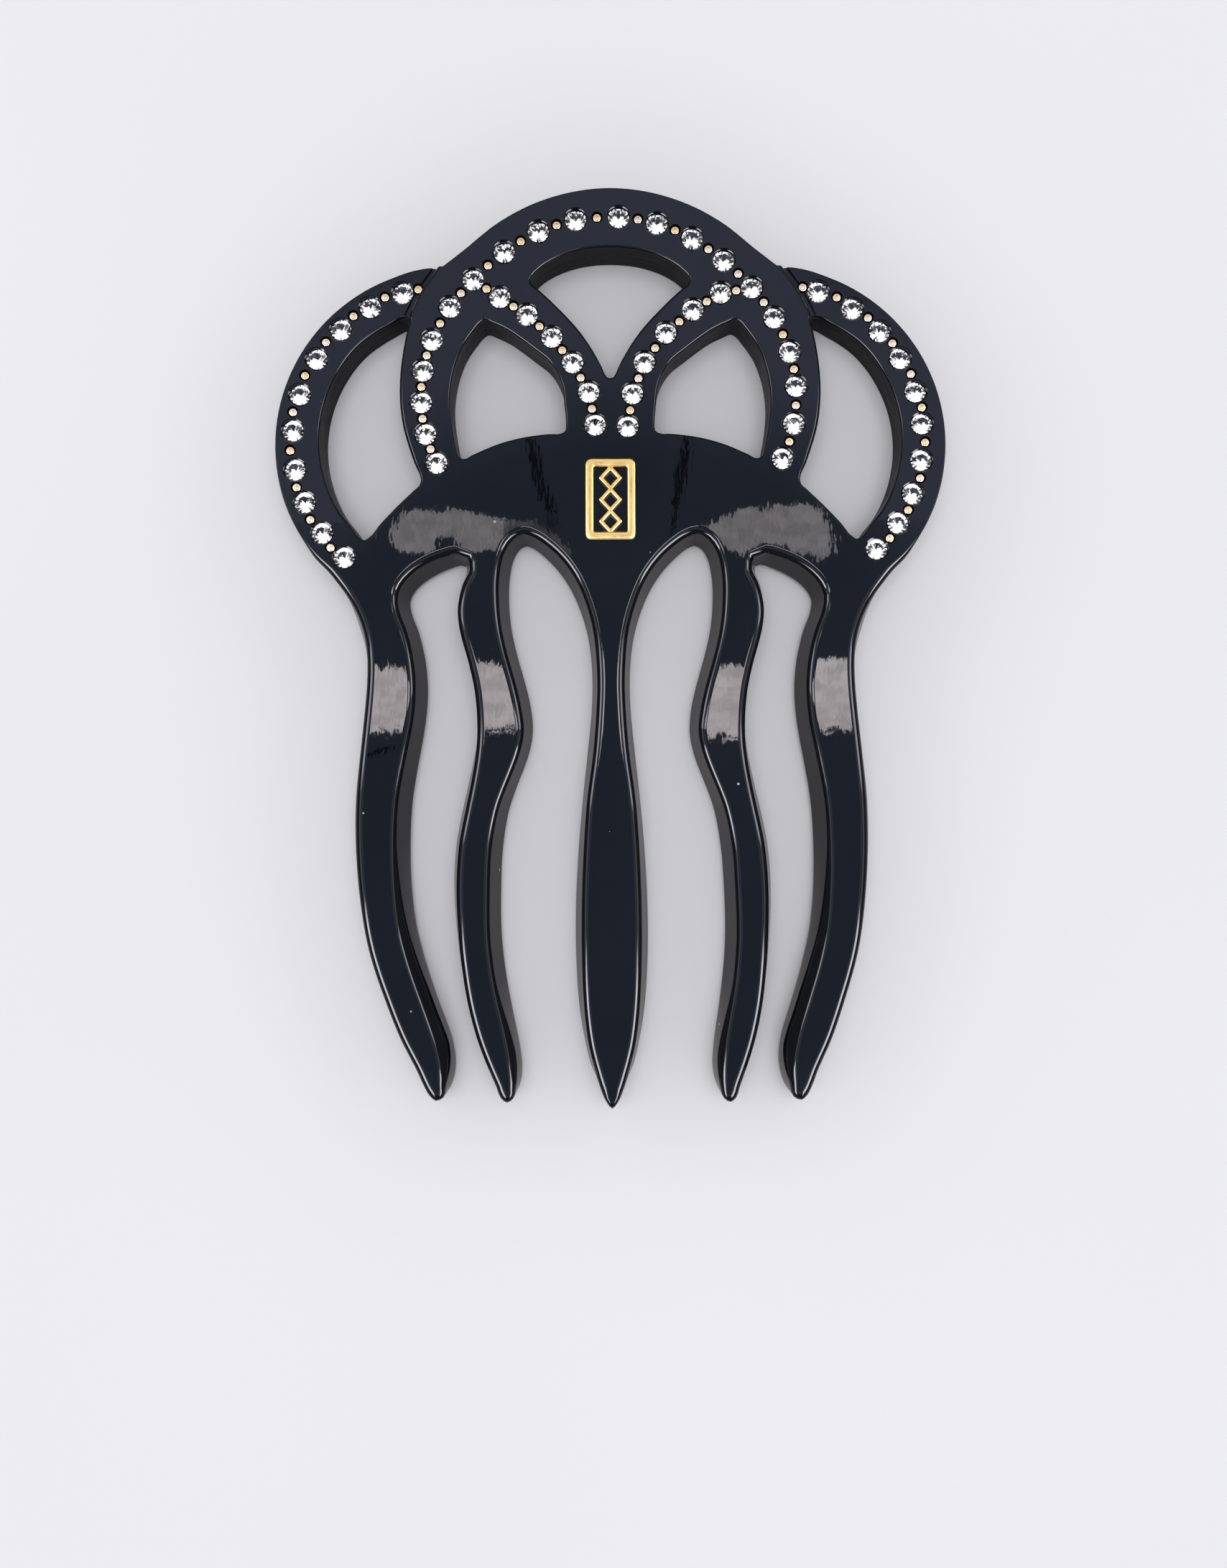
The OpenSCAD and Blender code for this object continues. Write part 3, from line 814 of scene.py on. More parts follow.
def seam_groove_cutter(side):
    """A narrow saw line in a ring's face, close against the arch."""
    seam = open_line(rows_of(SEAM_ROWS), SEAM_STEP)
    lines = [b - a for a, b in zip(seam, seam[1:])]
    away = [row - right_of(line) * SEAM_GROOVE_WIDTH for row, line in zip(seam, lines + lines[-1:])]
    loop = [row - (out - row) * GROOVE_OVERLAP for row, out in zip(seam, away)] + away[::-1]
    return closed_form("seam_groove", [
        [(side * row[X], row[Y], slope_height(row[Y]) + rise) for row in loop]
        for rise in (-SEAM_GROOVE_DEPTH, SEAM_GROOVE_DEPTH)
    ])


def drill(at, dipped, section, sides):
    """A round hole whose section is given as depth below the face and radius, from the bottom up."""
    return closed_form("hole", [
        [
            (x, y, face_height(y if depth < MOUTH_DEPTH else at[Y], dipped) - depth)
            for x, y in circle_points(at, radius, sides)
        ]
        for depth, radius in section
    ])


def drilled(kind, places, bottom, radius, sides):
    """The holes of all rows of a kind, with an upright mouth whose edge is broken."""
    mouth = [(POCKET_BREAK, radius), (0, radius + POCKET_BREAK), (-CUTTER_RISE, radius + POCKET_BREAK)]
    return joined(kind, [
        drill(at, dipped, bottom + mouth, sides)
        for name, (row, dipped) in places.items() if kind in name
        for at in row
    ])


def stone_pockets(places):
    """Pockets with an upright mouth, a cone that carries the stone's girdle, and a small flat bottom."""
    radius = POCKET_WIDTH / 2
    girdle_depth = STONE_WIDTH * (CROWN_SHARE + GIRDLE_SHARE) - STONE_RISE
    bottom = [
        (POCKET_DEPTH, 0.2),
        (girdle_depth, STONE_WIDTH / 2 - 0.004),
        (girdle_depth - 0.12, radius - 0.01),
        (girdle_depth - 0.16, radius),
    ]
    return drilled("stones", places, bottom, radius, POCKET_SIDES)


def pin_holes(places):
    radius = PIN_HOLE_WIDTH / 2
    return drilled("pins", places, [(PIN_HOLE_DEPTH, radius)], radius, PIN_HOLE_SIDES)


def rounded_rectangle(centre, width, height, corner, arc_steps):
    """Points round a rectangle with round corners."""
    points = []
    for quarter, (side, end) in enumerate(((1, 1), (-1, 1), (-1, -1), (1, -1))):
        middle = (centre[X] + side * (width / 2 - corner), centre[Y] + end * (height / 2 - corner))
        for k in range(arc_steps + 1):
            points.append(on_circle(middle, corner, 90 * (quarter + k / arc_steps)))
    return points


def emblem_seat_cutter():
    width = EMBLEM_WIDTH + 2 * EMBLEM_GAP
    height = EMBLEM_HEIGHT + 2 * EMBLEM_GAP
    loop = rounded_rectangle(EMBLEM_PLACE, width, height, EMBLEM_CORNER, arc_steps=8)
    return closed_form("seat", [
        [(point.x, point.y, height) for point in loop]
        for height in (SHEET_THICKNESS - EMBLEM_SEAT, SHEET_THICKNESS + CUTTER_RISE)
    ])


# Places of the stones and pins

def arch_place(distance_from_top):
    at = along(rows_of(ARCH_PATH_ROWS), abs(distance_from_top))
    return Vector((ARCH_PATH_START, 0, 0)) + (mirrored(at) if distance_from_top < 0 else at)


def pins_between(stones):
    return [(a + b) / 2 for a, b in zip(stones, stones[1:])]


def ring_stones(centre, angles):
    return [on_circle(centre, STONE_CIRCLE_RADIUS, angle) for angle in angles]


def ring_pins(centre, angles):
    first = on_circle(centre, STONE_CIRCLE_RADIUS, angles[0] + RING_TOP_PIN_STEP)
    return [first] + [on_circle(centre, PIN_CIRCLE_RADIUS, (a + b) / 2) for a, b in zip(angles, angles[1:])]


def set_places():
    """Places of the stones and pins of each row, and whether they lie on a ring's dipped face."""
    arch_stones = [arch_place(at) for at in ARCH_STONE_PLACES]
    arch_pins = [arch_place((a + b) / 2) for a, b in zip(ARCH_STONE_PLACES, ARCH_STONE_PLACES[1:])]
    left_arc = [mirrored(row) for row in rows_of(LEFT_ARC_PLACES)]
    right_arc = rows_of(RIGHT_ARC_PLACES)
    return {
        "stones_centre_arch": (arch_stones, 0),
        "stones_left_arc": (left_arc, 0),
        "stones_right_arc": (right_arc, 0),
        "stones_left_ring": (mirrored_rows(ring_stones(LEFT_STONE_CIRCLE, LEFT_RING_STONE_ANGLES)), 1),
        "stones_right_ring": (ring_stones(RIGHT_STONE_CIRCLE, RIGHT_RING_STONE_ANGLES), 1),
        "pins_centre_arch": (arch_pins, 0),
        "pins_left_arc": (pins_between([arch_stones[LEFT_ARC_HEAD]] + left_arc), 0),
        "pins_right_arc": (pins_between([arch_stones[RIGHT_ARC_HEAD]] + right_arc), 0),
        "pins_left_ring": (mirrored_rows(ring_pins(LEFT_STONE_CIRCLE, LEFT_RING_STONE_ANGLES)), 1),
        "pins_right_ring": (ring_pins(RIGHT_STONE_CIRCLE, RIGHT_RING_STONE_ANGLES), 1),
    }


def fork_sheet(places):
    """The sheet of the fork, with its windows, sloped rings, pockets, pin holes and emblem seat."""
    fork = closed_form("fork", fork_blank())
    for tools in (
        [ring_slope_cutter(1), ring_slope_cutter(-1)],
        [seam_groove_cutter(1), seam_groove_cutter(-1)],
        [windows_cutter()],
        [stone_pockets(places)],
        [pin_holes(places), emblem_seat_cutter()],
    ):
        combine(fork, joined("tools", tools), "DIFFERENCE")
    slope = Vector((0, DIP_SLOPE, 1)).normalized()

    def flat_at(point):
        if point.z < FLAT_SLACK:
            return Vector((0, 0, -1))
        if abs(point.z - SHEET_THICKNESS) < FLAT_SLACK:
            return Vector((0, 0, 1))
        on_slope = abs(point.z - slope_height(point.y)) < FLAT_SLACK
        return slope if on_slope and point.y > DIP_START and abs(point.x) > RING_FACE_SIDE else None

    shade(fork, sharp_degrees=30, flat_at=flat_at)
    for face in fork.data.polygons:
        sawn = abs(face.normal.z) < SAWN_SLOPE and face.center.y > SAWN_START
        face.material_index = 1 if sawn else 0
    to_metres(fork)
    return fork


# Stones, pins and emblem

def brilliant(form, at, height, turn, tilt):
    """Adds one brilliant: its crown has the first material, its silvered girdle and underside the second."""
    radius = STONE_WIDTH / 2
    crown = STONE_WIDTH * CROWN_SHARE
    girdle = STONE_WIDTH * GIRDLE_SHARE
    pavilion = STONE_WIDTH * PAVILION_SHARE
    step = math.pi / STONE_SIDES
    place = Matrix.Translation((at[X], at[Y], height - crown)) @ tilt @ Matrix.Rotation(turn, 4, "Z")

    def ring(share, depth, first, every, count):
        return [
            form.verts.new(place @ Vector((
                radius * share * math.cos((first + every * k) * step),
                radius * share * math.sin((first + every * k) * step),
                crown - depth,
            )))
            for k in range(count)
        ]

    table = ring(TABLE_SHARE, 0, 1, 2, STONE_SIDES)
    kites = ring(KITE_REACH_SHARE, crown * KITE_HEIGHT_SHARE, 0, 2, STONE_SIDES)
    upper = ring(1, crown, 0, 1, 2 * STONE_SIDES)
    lower = ring(1, crown + girdle, 0, 1, 2 * STONE_SIDES)
    low_depth = crown + girdle + pavilion * (1 - LOWER_FACET_REACH * math.cos(step))
    inner = ring(LOWER_FACET_REACH, low_depth, 1, 2, STONE_SIDES)
    tip = form.verts.new(place @ Vector((0, 0, -girdle - pavilion)))

    def facet(material, *corners):
        form.faces.new(corners).material_index = material

    facet(0, *table)
    for k in range(STONE_SIDES):
        before = (k - 1) % STONE_SIDES
        after = (k + 1) % STONE_SIDES
        facet(0, table[before], kites[k], table[k])
        facet(0, table[k], upper[2 * k + 1], kites[after])
        facet(0, table[k], kites[k], upper[2 * k + 1])
        facet(0, kites[k], upper[2 * k], upper[2 * k + 1])
        facet(0, kites[k], upper[2 * k - 1], upper[2 * k])
        facet(1, tip, inner[k], lower[2 * k], inner[before])
        facet(1, inner[k], lower[2 * k + 1], lower[2 * k])
        facet(1, inner[k], lower[(2 * k + 2) % (2 * STONE_SIDES)], lower[2 * k + 1])
    for k in range(2 * STONE_SIDES):
        following = (k + 1) % (2 * STONE_SIDES)
        facet(1, upper[k], lower[k], lower[following], upper[following])


def stone_row(name, places, dipped, chance):
    form = bmesh.new()
    for at in places:
        lean = Matrix.Rotation(math.radians(chance.uniform(-STONE_LEAN, STONE_LEAN)), 4, "X")
        lean = lean @ Matrix.Rotation(math.radians(chance.uniform(-STONE_LEAN, STONE_LEAN)), 4, "Y")
        brilliant(form, at, face_height(at[Y], dipped) + STONE_RISE, chance.uniform(0, math.pi / 4), lean)
    bmesh.ops.recalc_face_normals(form, faces=form.faces)
    row = piece_from(form, name)
    to_metres(row)
    return row


def turned_pin(form, at, height, sides=24):
    """Adds one pin, whose face is dished round a small button. Its section gives reach and height."""
    radius = PIN_WIDTH / 2
    section = [
        (0.3, -PIN_LENGTH),
        (radius, -PIN_LENGTH),
        (radius, -0.09),
        (radius - 0.025, -0.03),
        (radius - 0.075, 0),
        (radius * 0.62, -0.008),
        (radius * 0.47, -0.018),
        (radius * 0.42, -0.008),
        (radius * 0.3, 0),
    ]
    rings = [
        [form.verts.new((x, y, height + drop)) for x, y in circle_points(at, reach, sides)]
        for reach, drop in section
    ]
    top = form.verts.new((at[X], at[Y], height + PIN_DOME))
    bridge(form, rings)
    for k in range(sides):
        form.faces.new((rings[-1][k], rings[-1][(k + 1) % sides], top))
    form.faces.new(list(reversed(rings[0])))


def pin_row(name, places, dipped, chance):
    form = bmesh.new()
    for at in places:
        turned_pin(form, at, face_height(at[Y], dipped) - PIN_SINK + chance.uniform(*PIN_RISES))
    row = piece_from(form, name)
    shade(row, sharp_degrees=50)
    to_metres(row)
    return row


def bevelled_frame(name, outer, inner, bottom, top, bevel):
    """A closed bar between an outer and an inner loop of as many points, with round upper edges."""
    def side_loop(loop, reach, height):
        return [(*(point + inward_at(loop, i) * reach).xy, height) for i, point in enumerate(loop)]

    edge = round_edge(bevel, FRAME_ROUND_ANGLES)
    loops = [side_loop(outer, 0, bottom)]
    loops += [side_loop(outer, -reach, top - drop) for reach, drop in edge]
    loops += [side_loop(inner, reach, top - drop) for reach, drop in reversed(edge)]
    loops.append(side_loop(inner, 0, bottom))
    form = bmesh.new()
    rings = [[form.verts.new(point) for point in loop] for loop in loops]
    bridge(form, rings + rings[:1])
    bmesh.ops.recalc_face_normals(form, faces=form.faces)
    return piece_from(form, name)


def lozenge_loop(centre, width, height, corner_steps=3):
    """Points round a lozenge whose corners are slightly eased."""
    corners = [
        Vector((centre[X] + across * width / 2, centre[Y] + up * height / 2, 0))
        for across, up in ((1, 0), (0, 1), (-1, 0), (0, -1))
    ]
    points = []
    for i, corner in enumerate(corners):
        start = corner + (corners[i - 1] - corner) * LOZENGE_EASE
        end = corner + (corners[(i + 1) % 4] - corner) * LOZENGE_EASE
        for k in range(corner_steps + 1):
            u = k / corner_steps
            points.append(start * (1 - u) ** 2 + corner * (2 * u * (1 - u)) + end * u ** 2)
    return points


def emblem_piece():
    """The gold frame with its row of open lozenges, as one casting."""
    bottom = SHEET_THICKNESS - EMBLEM_SEAT + EMBLEM_GAP
    top = SHEET_THICKNESS + EMBLEM_RISE
    inner_width = EMBLEM_WIDTH - 2 * EMBLEM_BAR
    inner_height = EMBLEM_HEIGHT - 2 * EMBLEM_BAR
    casting = bevelled_frame(
        "casting",
        rounded_rectangle(EMBLEM_PLACE, EMBLEM_WIDTH, EMBLEM_HEIGHT, EMBLEM_CORNER, arc_steps=10),
        rounded_rectangle(EMBLEM_PLACE, inner_width, inner_height, corner=0.22, arc_steps=10),
        bottom, top, bevel=0.18,
    )
    lozenge_height = inner_height / LOZENGE_COUNT
    for i in range(LOZENGE_COUNT):
        centre = (EMBLEM_PLACE[X], EMBLEM_PLACE[Y] + (i - (LOZENGE_COUNT - 1) / 2) * lozenge_height)
        height = lozenge_height + LOZENGE_OVERLAP
        opening = (LOZENGE_WIDTH - 2 * LOZENGE_BAR, height - 2 * LOZENGE_BAR * height / LOZENGE_WIDTH)
        lozenge = bevelled_frame(
            "lozenge",
            lozenge_loop(centre, LOZENGE_WIDTH, height),
            lozenge_loop(centre, *opening),
            bottom, top - LOZENGE_SINK, bevel=0.12,
        )
        combine(casting, lozenge, "UNION")
    shade(casting, sharp_degrees=34)
    to_metres(casting)
    casting.name = "gold_emblem"
    return casting


# Shader node groups

def feed(tree, node, inputs):
    """Sets inputs of a node by their name or number, each to a value or to another node's output."""
    for name, value in inputs.items():
        if isinstance(value, bpy.types.NodeSocket):
            tree.links.new(value, node.inputs[name])
        else:
            node.inputs[name].default_value = value


def add_node(tree, kind, inputs, output=0, **settings):
    """Adds a node with its settings and inputs, and gives one of its outputs."""
    node = tree.nodes.new(kind)
    for name, value in settings.items():
        setattr(node, name, value)
    feed(tree, node, inputs)
    return node.outputs[output]


def new_group(name, numbers, output):
    """A group with a vector and numbers as inputs, whose one output is a number."""
    group = bpy.data.node_groups.new(name, "ShaderNodeTree")
    group.interface.new_socket("Vector", in_out="INPUT", socket_type="NodeSocketVector")
    for socket, value in numbers.items():
        item = group.interface.new_socket(socket, in_out="INPUT", socket_type="NodeSocketFloat")
        item.default_value = value
    group.interface.new_socket(output, in_out="OUTPUT", socket_type="NodeSocketFloat")
    return group, group.nodes.new("NodeGroupInput").outputs, group.nodes.new("NodeGroupOutput")


def math_node(tree, operation, *values):
    return add_node(tree, "ShaderNodeMath", dict(enumerate(values)), operation=operation)


def threshold(tree, value, low, high, to_low=0.0, to_high=1.0):
    return add_node(tree, "ShaderNodeMapRange", {
        "Value": value, "From Min": low, "From Max": high, "To Min": to_low, "To Max": to_high,
    }, "Result", interpolation_type="SMOOTHSTEP")


def stretched(tree, vector, scale, turn=0.0):
    return add_node(tree, "ShaderNodeMapping", {
        "Vector": vector, "Scale": scale, "Rotation": (0, 0, math.radians(turn)),
    })


def noise(tree, vector, scale, detail=2.0, roughness=0.5):
    return add_node(tree, "ShaderNodeTexNoise", {
        "Vector": vector, "Scale": scale, "Detail": detail, "Roughness": roughness,
    }, "Fac")


def polish_waves_group():
    """Low unevenness that hand polishing leaves, with short strokes in it, as a height for a bump node."""
    group, given, end = new_group("Polish waves", {"Broad": 1.0, "Strokes": 1.0}, "Height")
    broad = noise(group, given["Vector"], 70, 1.0)
    strokes = noise(group, stretched(group, given["Vector"], (1.6, 0.55, 1), 35), 620, 2.0, 0.55)
    broad_height = math_node(group, "MULTIPLY", broad, given["Broad"])
    stroke_height = math_node(group, "MULTIPLY", strokes, given["Strokes"])
    feed(group, end, {"Height": math_node(group, "ADD", broad_height, stroke_height)})
    return group


def dust_group():
    """Sparse specks of dust as a mask."""
    group, given, end = new_group("Dust", {"Spacing": 300.0, "Size": 0.03}, "Mask")
    cells = group.nodes.new("ShaderNodeTexVoronoi")
    feed(group, cells, {"Vector": given["Vector"], "Scale": given["Spacing"]})
    chance = group.nodes.new("ShaderNodeSeparateColor")
    feed(group, chance, {"Color": cells.outputs["Color"]})
    size = math_node(group, "MULTIPLY", given["Size"], chance.outputs["Green"])
    speck = math_node(group, "LESS_THAN", cells.outputs["Distance"], size)
    chosen = math_node(group, "GREATER_THAN", chance.outputs["Red"], 0.72)
    feed(group, end, {"Mask": math_node(group, "MULTIPLY", speck, chosen)})
    return group


def scratches_group():
    """Fine hairline scratches in two directions as a mask."""
    group, given, end = new_group("Hairline scratches", {"Amount": 0.5}, "Mask")
    masks = []
    for turn, patch_scale in ((24, 130), (-62, 190)):
        vector = stretched(group, given["Vector"], (1.0, 0.05, 1.0), turn)
        edges = add_node(
            group, "ShaderNodeTexVoronoi", {"Vector": vector, "Scale": 420}, "Distance",
            feature="DISTANCE_TO_EDGE",
        )
        line = threshold(group, edges, 0.0, 0.02, 1.0, 0.0)
        where = noise(group, given["Vector"], patch_scale, 2.0)
        masks.append(math_node(group, "MULTIPLY", line, threshold(group, where, 0.62, 0.7)))
    both = math_node(group, "MAXIMUM", *masks)
    feed(group, end, {"Mask": math_node(group, "MULTIPLY", both, given["Amount"])})
    return group


# Materials

# Numbers of a mix node's two colour inputs and of its colour output
MIX_FIRST, MIX_SECOND, MIX_RESULT = 6, 7, 2


def new_material(name):
    material = bpy.data.materials.new(name)
    material.use_nodes = True
    tree = material.node_tree
    coordinates = add_node(tree, "ShaderNodeTexCoord", {}, "Object")
    return material, tree, tree.nodes["Principled BSDF"], coordinates


def placed_group(tree, group, inputs):
    """Places a group in a material and gives its output."""
    return add_node(tree, "ShaderNodeGroup", inputs, node_tree=group)


def bumped(tree, height, distance):
    inputs = {"Strength": 1.0, "Distance": distance, "Height": height}
    return add_node(tree, "ShaderNodeBump", inputs, "Normal")


def blended(tree, factor, first, second):
    """A blend of two colours, each another node's output or three numbers."""
    inputs = {"Factor": factor}
    for place, colour in ((MIX_FIRST, first), (MIX_SECOND, second)):
        inputs[place] = colour if isinstance(colour, bpy.types.NodeSocket) else (*colour, 1)
    return add_node(tree, "ShaderNodeMix", inputs, MIX_RESULT, data_type="RGBA")


def black_sheet_material(groups):
    material, tree, surface, vector = new_material("polished_black_sheet")
    dust = placed_group(tree, groups["dust"], {"Vector": vector, "Spacing": 360.0, "Size": 0.07})
    scratches = placed_group(tree, groups["scratches"], {"Vector": vector, "Amount": 0.6})
    waves = placed_group(tree, groups["waves"], {"Vector": vector, "Broad": 0.6, "Strokes": 0.1})
    clouds = threshold(tree, noise(tree, vector, 90, 3.0), 0.35, 0.7)
    deep = blended(tree, clouds, (0.0030, 0.0036, 0.0052), (0.0042, 0.0050, 0.0070))
    wear = math_node(tree, "MAXIMUM", math_node(tree, "MULTIPLY", scratches, 0.35), dust)
    scored = math_node(tree, "SUBTRACT", waves, math_node(tree, "MULTIPLY", scratches, 0.02))
    feed(tree, surface, {
        "IOR": 1.49,
        "Base Color": blended(tree, dust, deep, (0.42, 0.42, 0.42)),
        "Roughness": threshold(tree, wear, 0.0, 1.0, 0.015, 0.6),
        "Normal": bumped(tree, scored, 0.00004),
    })
    return material


def sawn_wall_material():
    """The upright walls above the teeth, which are only smoothed and keep faint lines along the sheet."""
    material, tree, surface, vector = new_material("sawn_black_walls")
    lines = noise(tree, stretched(tree, vector, (0.04, 0.04, 1.0)), 2600, 2.0)
    patches = noise(tree, vector, 260, 3.0)
    tone = threshold(tree, patches, 0.3, 0.75)
    mixed = math_node(
        tree, "ADD", math_node(tree, "MULTIPLY", lines, 0.7), math_node(tree, "MULTIPLY", patches, 0.3)
    )
    feed(tree, surface, {
        "IOR": 1.22,
        "Base Color": blended(tree, tone, (0.0031, 0.0036, 0.0048), (0.0058, 0.0062, 0.0078)),
        "Roughness": threshold(tree, mixed, 0.35, 0.65, 0.2, 0.48),
        "Normal": bumped(tree, lines, 0.00001),
    })
    return material


def gold_material(groups, name, base, pale, roughness, grain):
    material, tree, surface, vector = new_material(name)
    clouds = noise(tree, vector, 900, 3.0)
    tone = threshold(tree, noise(tree, vector, 260, 1.0), 0.38, 0.62)
    fine = placed_group(tree, groups["waves"], {"Vector": vector, "Broad": 0.05, "Strokes": grain})
    feed(tree, surface, {
        "Metallic": 1,
        "Base Color": blended(tree, tone, base, pale),
        "Roughness": threshold(tree, clouds, 0.3, 0.7, roughness * 0.8, roughness * 1.25),
        "Normal": bumped(tree, fine, 0.00002),
    })
    return material


def crystal_material():
    material, tree, surface, vector = new_material("cut_crystal")
    feed(tree, surface, {
        "Transmission Weight": 1,
        "IOR": 1.56,
        "Base Color": blended(tree, noise(tree, vector, 500), (1.0, 1.0, 1.0), (0.96, 0.98, 1.0)),
        "Roughness": threshold(tree, noise(tree, vector, 2500), 0.4, 0.8, 0.0, 0.02),
    })
    return material


def foil_material():
    material, tree, surface, vector = new_material("silver_foil")
    feed(tree, surface, {
        "Metallic": 1,
        "Base Color": blended(tree, noise(tree, vector, 1200), (0.95, 0.95, 0.97), (1.0, 0.99, 0.97)),
        "Roughness": threshold(tree, noise(tree, vector, 3000), 0.3, 0.7, 0.01, 0.08),
    })
    return material


def floor_material():
    material, tree, surface, vector = new_material("pale_floor")
    tone = threshold(tree, noise(tree, vector, 6, 2.0), 0.3, 0.7)
    pale = blended(tree, tone, (0.845, 0.845, 0.862), (0.862, 0.862, 0.88))
    # Seen in reflections the floor is darker: painted shade for the shaded floor at the walls' feet.
    mirrored_ray = add_node(tree, "ShaderNodeLightPath", {}, "Is Glossy Ray")
    feed(tree, surface, {
        "Base Color": blended(tree, mirrored_ray, pale, (0.55, 0.52, 0.53)),
        "Roughness": 0.9,
        "Specular IOR Level": 0,
    })
    return material


# Surroundings

CAMERA_PLACE = (0.27, -16.84, 160.5)
CAMERA_TURN = -0.17
SENSOR_HEIGHT = 24
HALF_VIEW_HEIGHT = 98.235
CAMERA_ABOVE_FACE = CAMERA_PLACE[2] - SHEET_THICKNESS
PANEL_HEIGHT = 500
# Columns of a panel's rows: place across the fork, and the lowest and highest point there
ACROSS, LOWEST, HIGHEST = 0, 1, 2


def place_camera():
    data = bpy.data.cameras.new("camera")
    data.sensor_fit = "VERTICAL"
    data.sensor_height = SENSOR_HEIGHT
    data.lens = SENSOR_HEIGHT / 2 * CAMERA_ABOVE_FACE / HALF_VIEW_HEIGHT
    data.clip_start = 0.01
    camera = bpy.data.objects.new("camera", data)
    camera.location = Vector(CAMERA_PLACE) * MM
    camera.rotation_euler = (0, 0, math.radians(CAMERA_TURN))
    bpy.context.collection.objects.link(camera)
    bpy.context.scene.camera = camera


def place_floor(material):
    form = bmesh.new()
    bmesh.ops.create_grid(form, x_segments=4, y_segments=4, size=3)
    floor = piece_from(form, "floor")
    floor.data.materials.append(material)


def between_columns(rows, x, column):
    """A column's value at a place across the fork, also a little beyond the first and last row."""
    pairs = list(zip(rows, rows[1:]))
    a, b = next(((a, b) for a, b in pairs if x <= b[ACROSS]), pairs[-1])
    return a[column] + (b[column] - a[column]) * (x - a[ACROSS]) / (b[ACROSS] - a[ACROSS])


def glow_material(strength, colour, softness):
    """Light with torn edges, whose place on a panel is kept in the panel's own colour layer."""
    material = bpy.data.materials.new("panel_glow")
    material.use_nodes = True
    tree = material.node_tree
    tree.nodes.clear()
    layer = add_node(tree, "ShaderNodeVertexColor", {}, "Color", layer_name="glow")
    where = add_node(tree, "ShaderNodeTexCoord", {}, "Object")
    tears = noise(tree, stretched(tree, where, (1.0, 1.7, 1.0), 30), 180, 7.0, 0.7)
    torn = math_node(tree, "MULTIPLY", math_node(tree, "SUBTRACT", tears, 0.5), 2.6)
    lit = threshold(tree, math_node(tree, "ADD", layer, torn), 0.5 - softness, 0.5 + softness)
    cloudy = threshold(tree, noise(tree, where, 150, 4.0, 0.6), 0.3, 0.7, strength * 0.78, strength * 1.14)
    glow = add_node(tree, "ShaderNodeEmission", {"Color": (*colour, 1), "Strength": cloudy})
    clear = add_node(tree, "ShaderNodeBsdfTransparent", {})
    output = tree.nodes.new("ShaderNodeOutputMaterial")
    feed(tree, output, {"Surface": chosen_shader(tree, lit, clear, glow)})
    return material


def mirrored_panel(name, rows, edges, softness, strength, colour, across=80, up=48):
    """
    A light panel high over the fork, or a dark one where its strength is 0, whose reflection in the flat
    front fills an area of it, as the camera sees it. Each row gives a place across the fork, and the area's
    lowest and highest point there. Edges gives how wide the torn edge is at the sides, at the low edge and
    at the high edge.
    """
    side_edge, low_edge, high_edge = edges
    left, right = rows[0][ACROSS], rows[-1][ACROSS]
    west, east = left - side_edge / 2, right + side_edge / 2
    south = min(row[LOWEST] for row in rows) - low_edge
    north = max(row[HIGHEST] for row in rows) + high_edge
    spread = PANEL_HEIGHT / CAMERA_ABOVE_FACE
    form = bmesh.new()
    layer = form.verts.layers.float_color.new("glow")
    grid = []
    for j in range(up + 1):
        line = []
        for i in range(across + 1):
            x = west + (east - west) * i / across
            y = south + (north - south) * j / up
            light = 0.5 + min(
                (x - left) / side_edge,
                (right - x) / side_edge,
                (y - between_columns(rows, x, LOWEST)) / low_edge,
                (between_columns(rows, x, HIGHEST) - y) / high_edge,
            )
            light = min(max(light, 0), 1)
            vertex = form.verts.new(MM * Vector((
                x + (x - CAMERA_PLACE[X]) * spread,
                y + (y - CAMERA_PLACE[Y]) * spread,
                SHEET_THICKNESS + PANEL_HEIGHT,
            )))
            vertex[layer] = (light, light, light, 1)
            line.append(vertex)
        grid.append(line)
    for low, high in zip(grid, grid[1:]):
        for i in range(across):
            form.faces.new((low[i], high[i], high[i + 1], low[i + 1]))
    panel = piece_from(form, name)
    panel.data.materials.append(glow_material(strength, colour, softness))
    panel.visible_camera = False
    panel.visible_diffuse = False
    panel.visible_transmission = False
    panel.visible_shadow = False


def jewel_panel(name, place, aim, width, height, strength, jewels):
    """A soft panel that lights only the pins and the emblem."""
    data = bpy.data.lights.new(name, "AREA")
    data.shape = "RECTANGLE"
    data.size = width
    data.size_y = height
    data.energy = strength * math.pi * width * height
    panel = bpy.data.objects.new(name, data)
    panel.location = place
    panel.rotation_euler = (Vector(aim) - Vector(place)).to_track_quat("-Z", "Y").to_euler()
    panel.visible_camera = False
    panel.visible_transmission = False
    bpy.context.collection.objects.link(panel)
    panel.light_linking.receiver_collection = jewels


def sky_ramp(tree, height, stops):
    """A colour for each height, blended evenly from each stop to the next."""
    ramp = tree.nodes.new("ShaderNodeValToRGB")
    feed(tree, ramp, {"Fac": height})
    elements = ramp.color_ramp.elements
    elements[0].position = stops[0][0]
    elements[1].position = stops[-1][0]
    for position, _ in stops[1:-1]:
        elements.new(position)
    for element, (_, colour) in zip(elements, stops):
        element.color = (*colour, 1)
    return ramp.outputs["Color"]


def background(tree, colour, strength=1.0):
    """A sky of a colour, which is another node's output or four numbers."""
    return add_node(tree, "ShaderNodeBackground", {"Color": colour, "Strength": strength})


def chosen_shader(tree, factor, first, second):
    return add_node(tree, "ShaderNodeMixShader", {0: factor, 1: first, 2: second})


def grey(value):
    return (value, value, value)


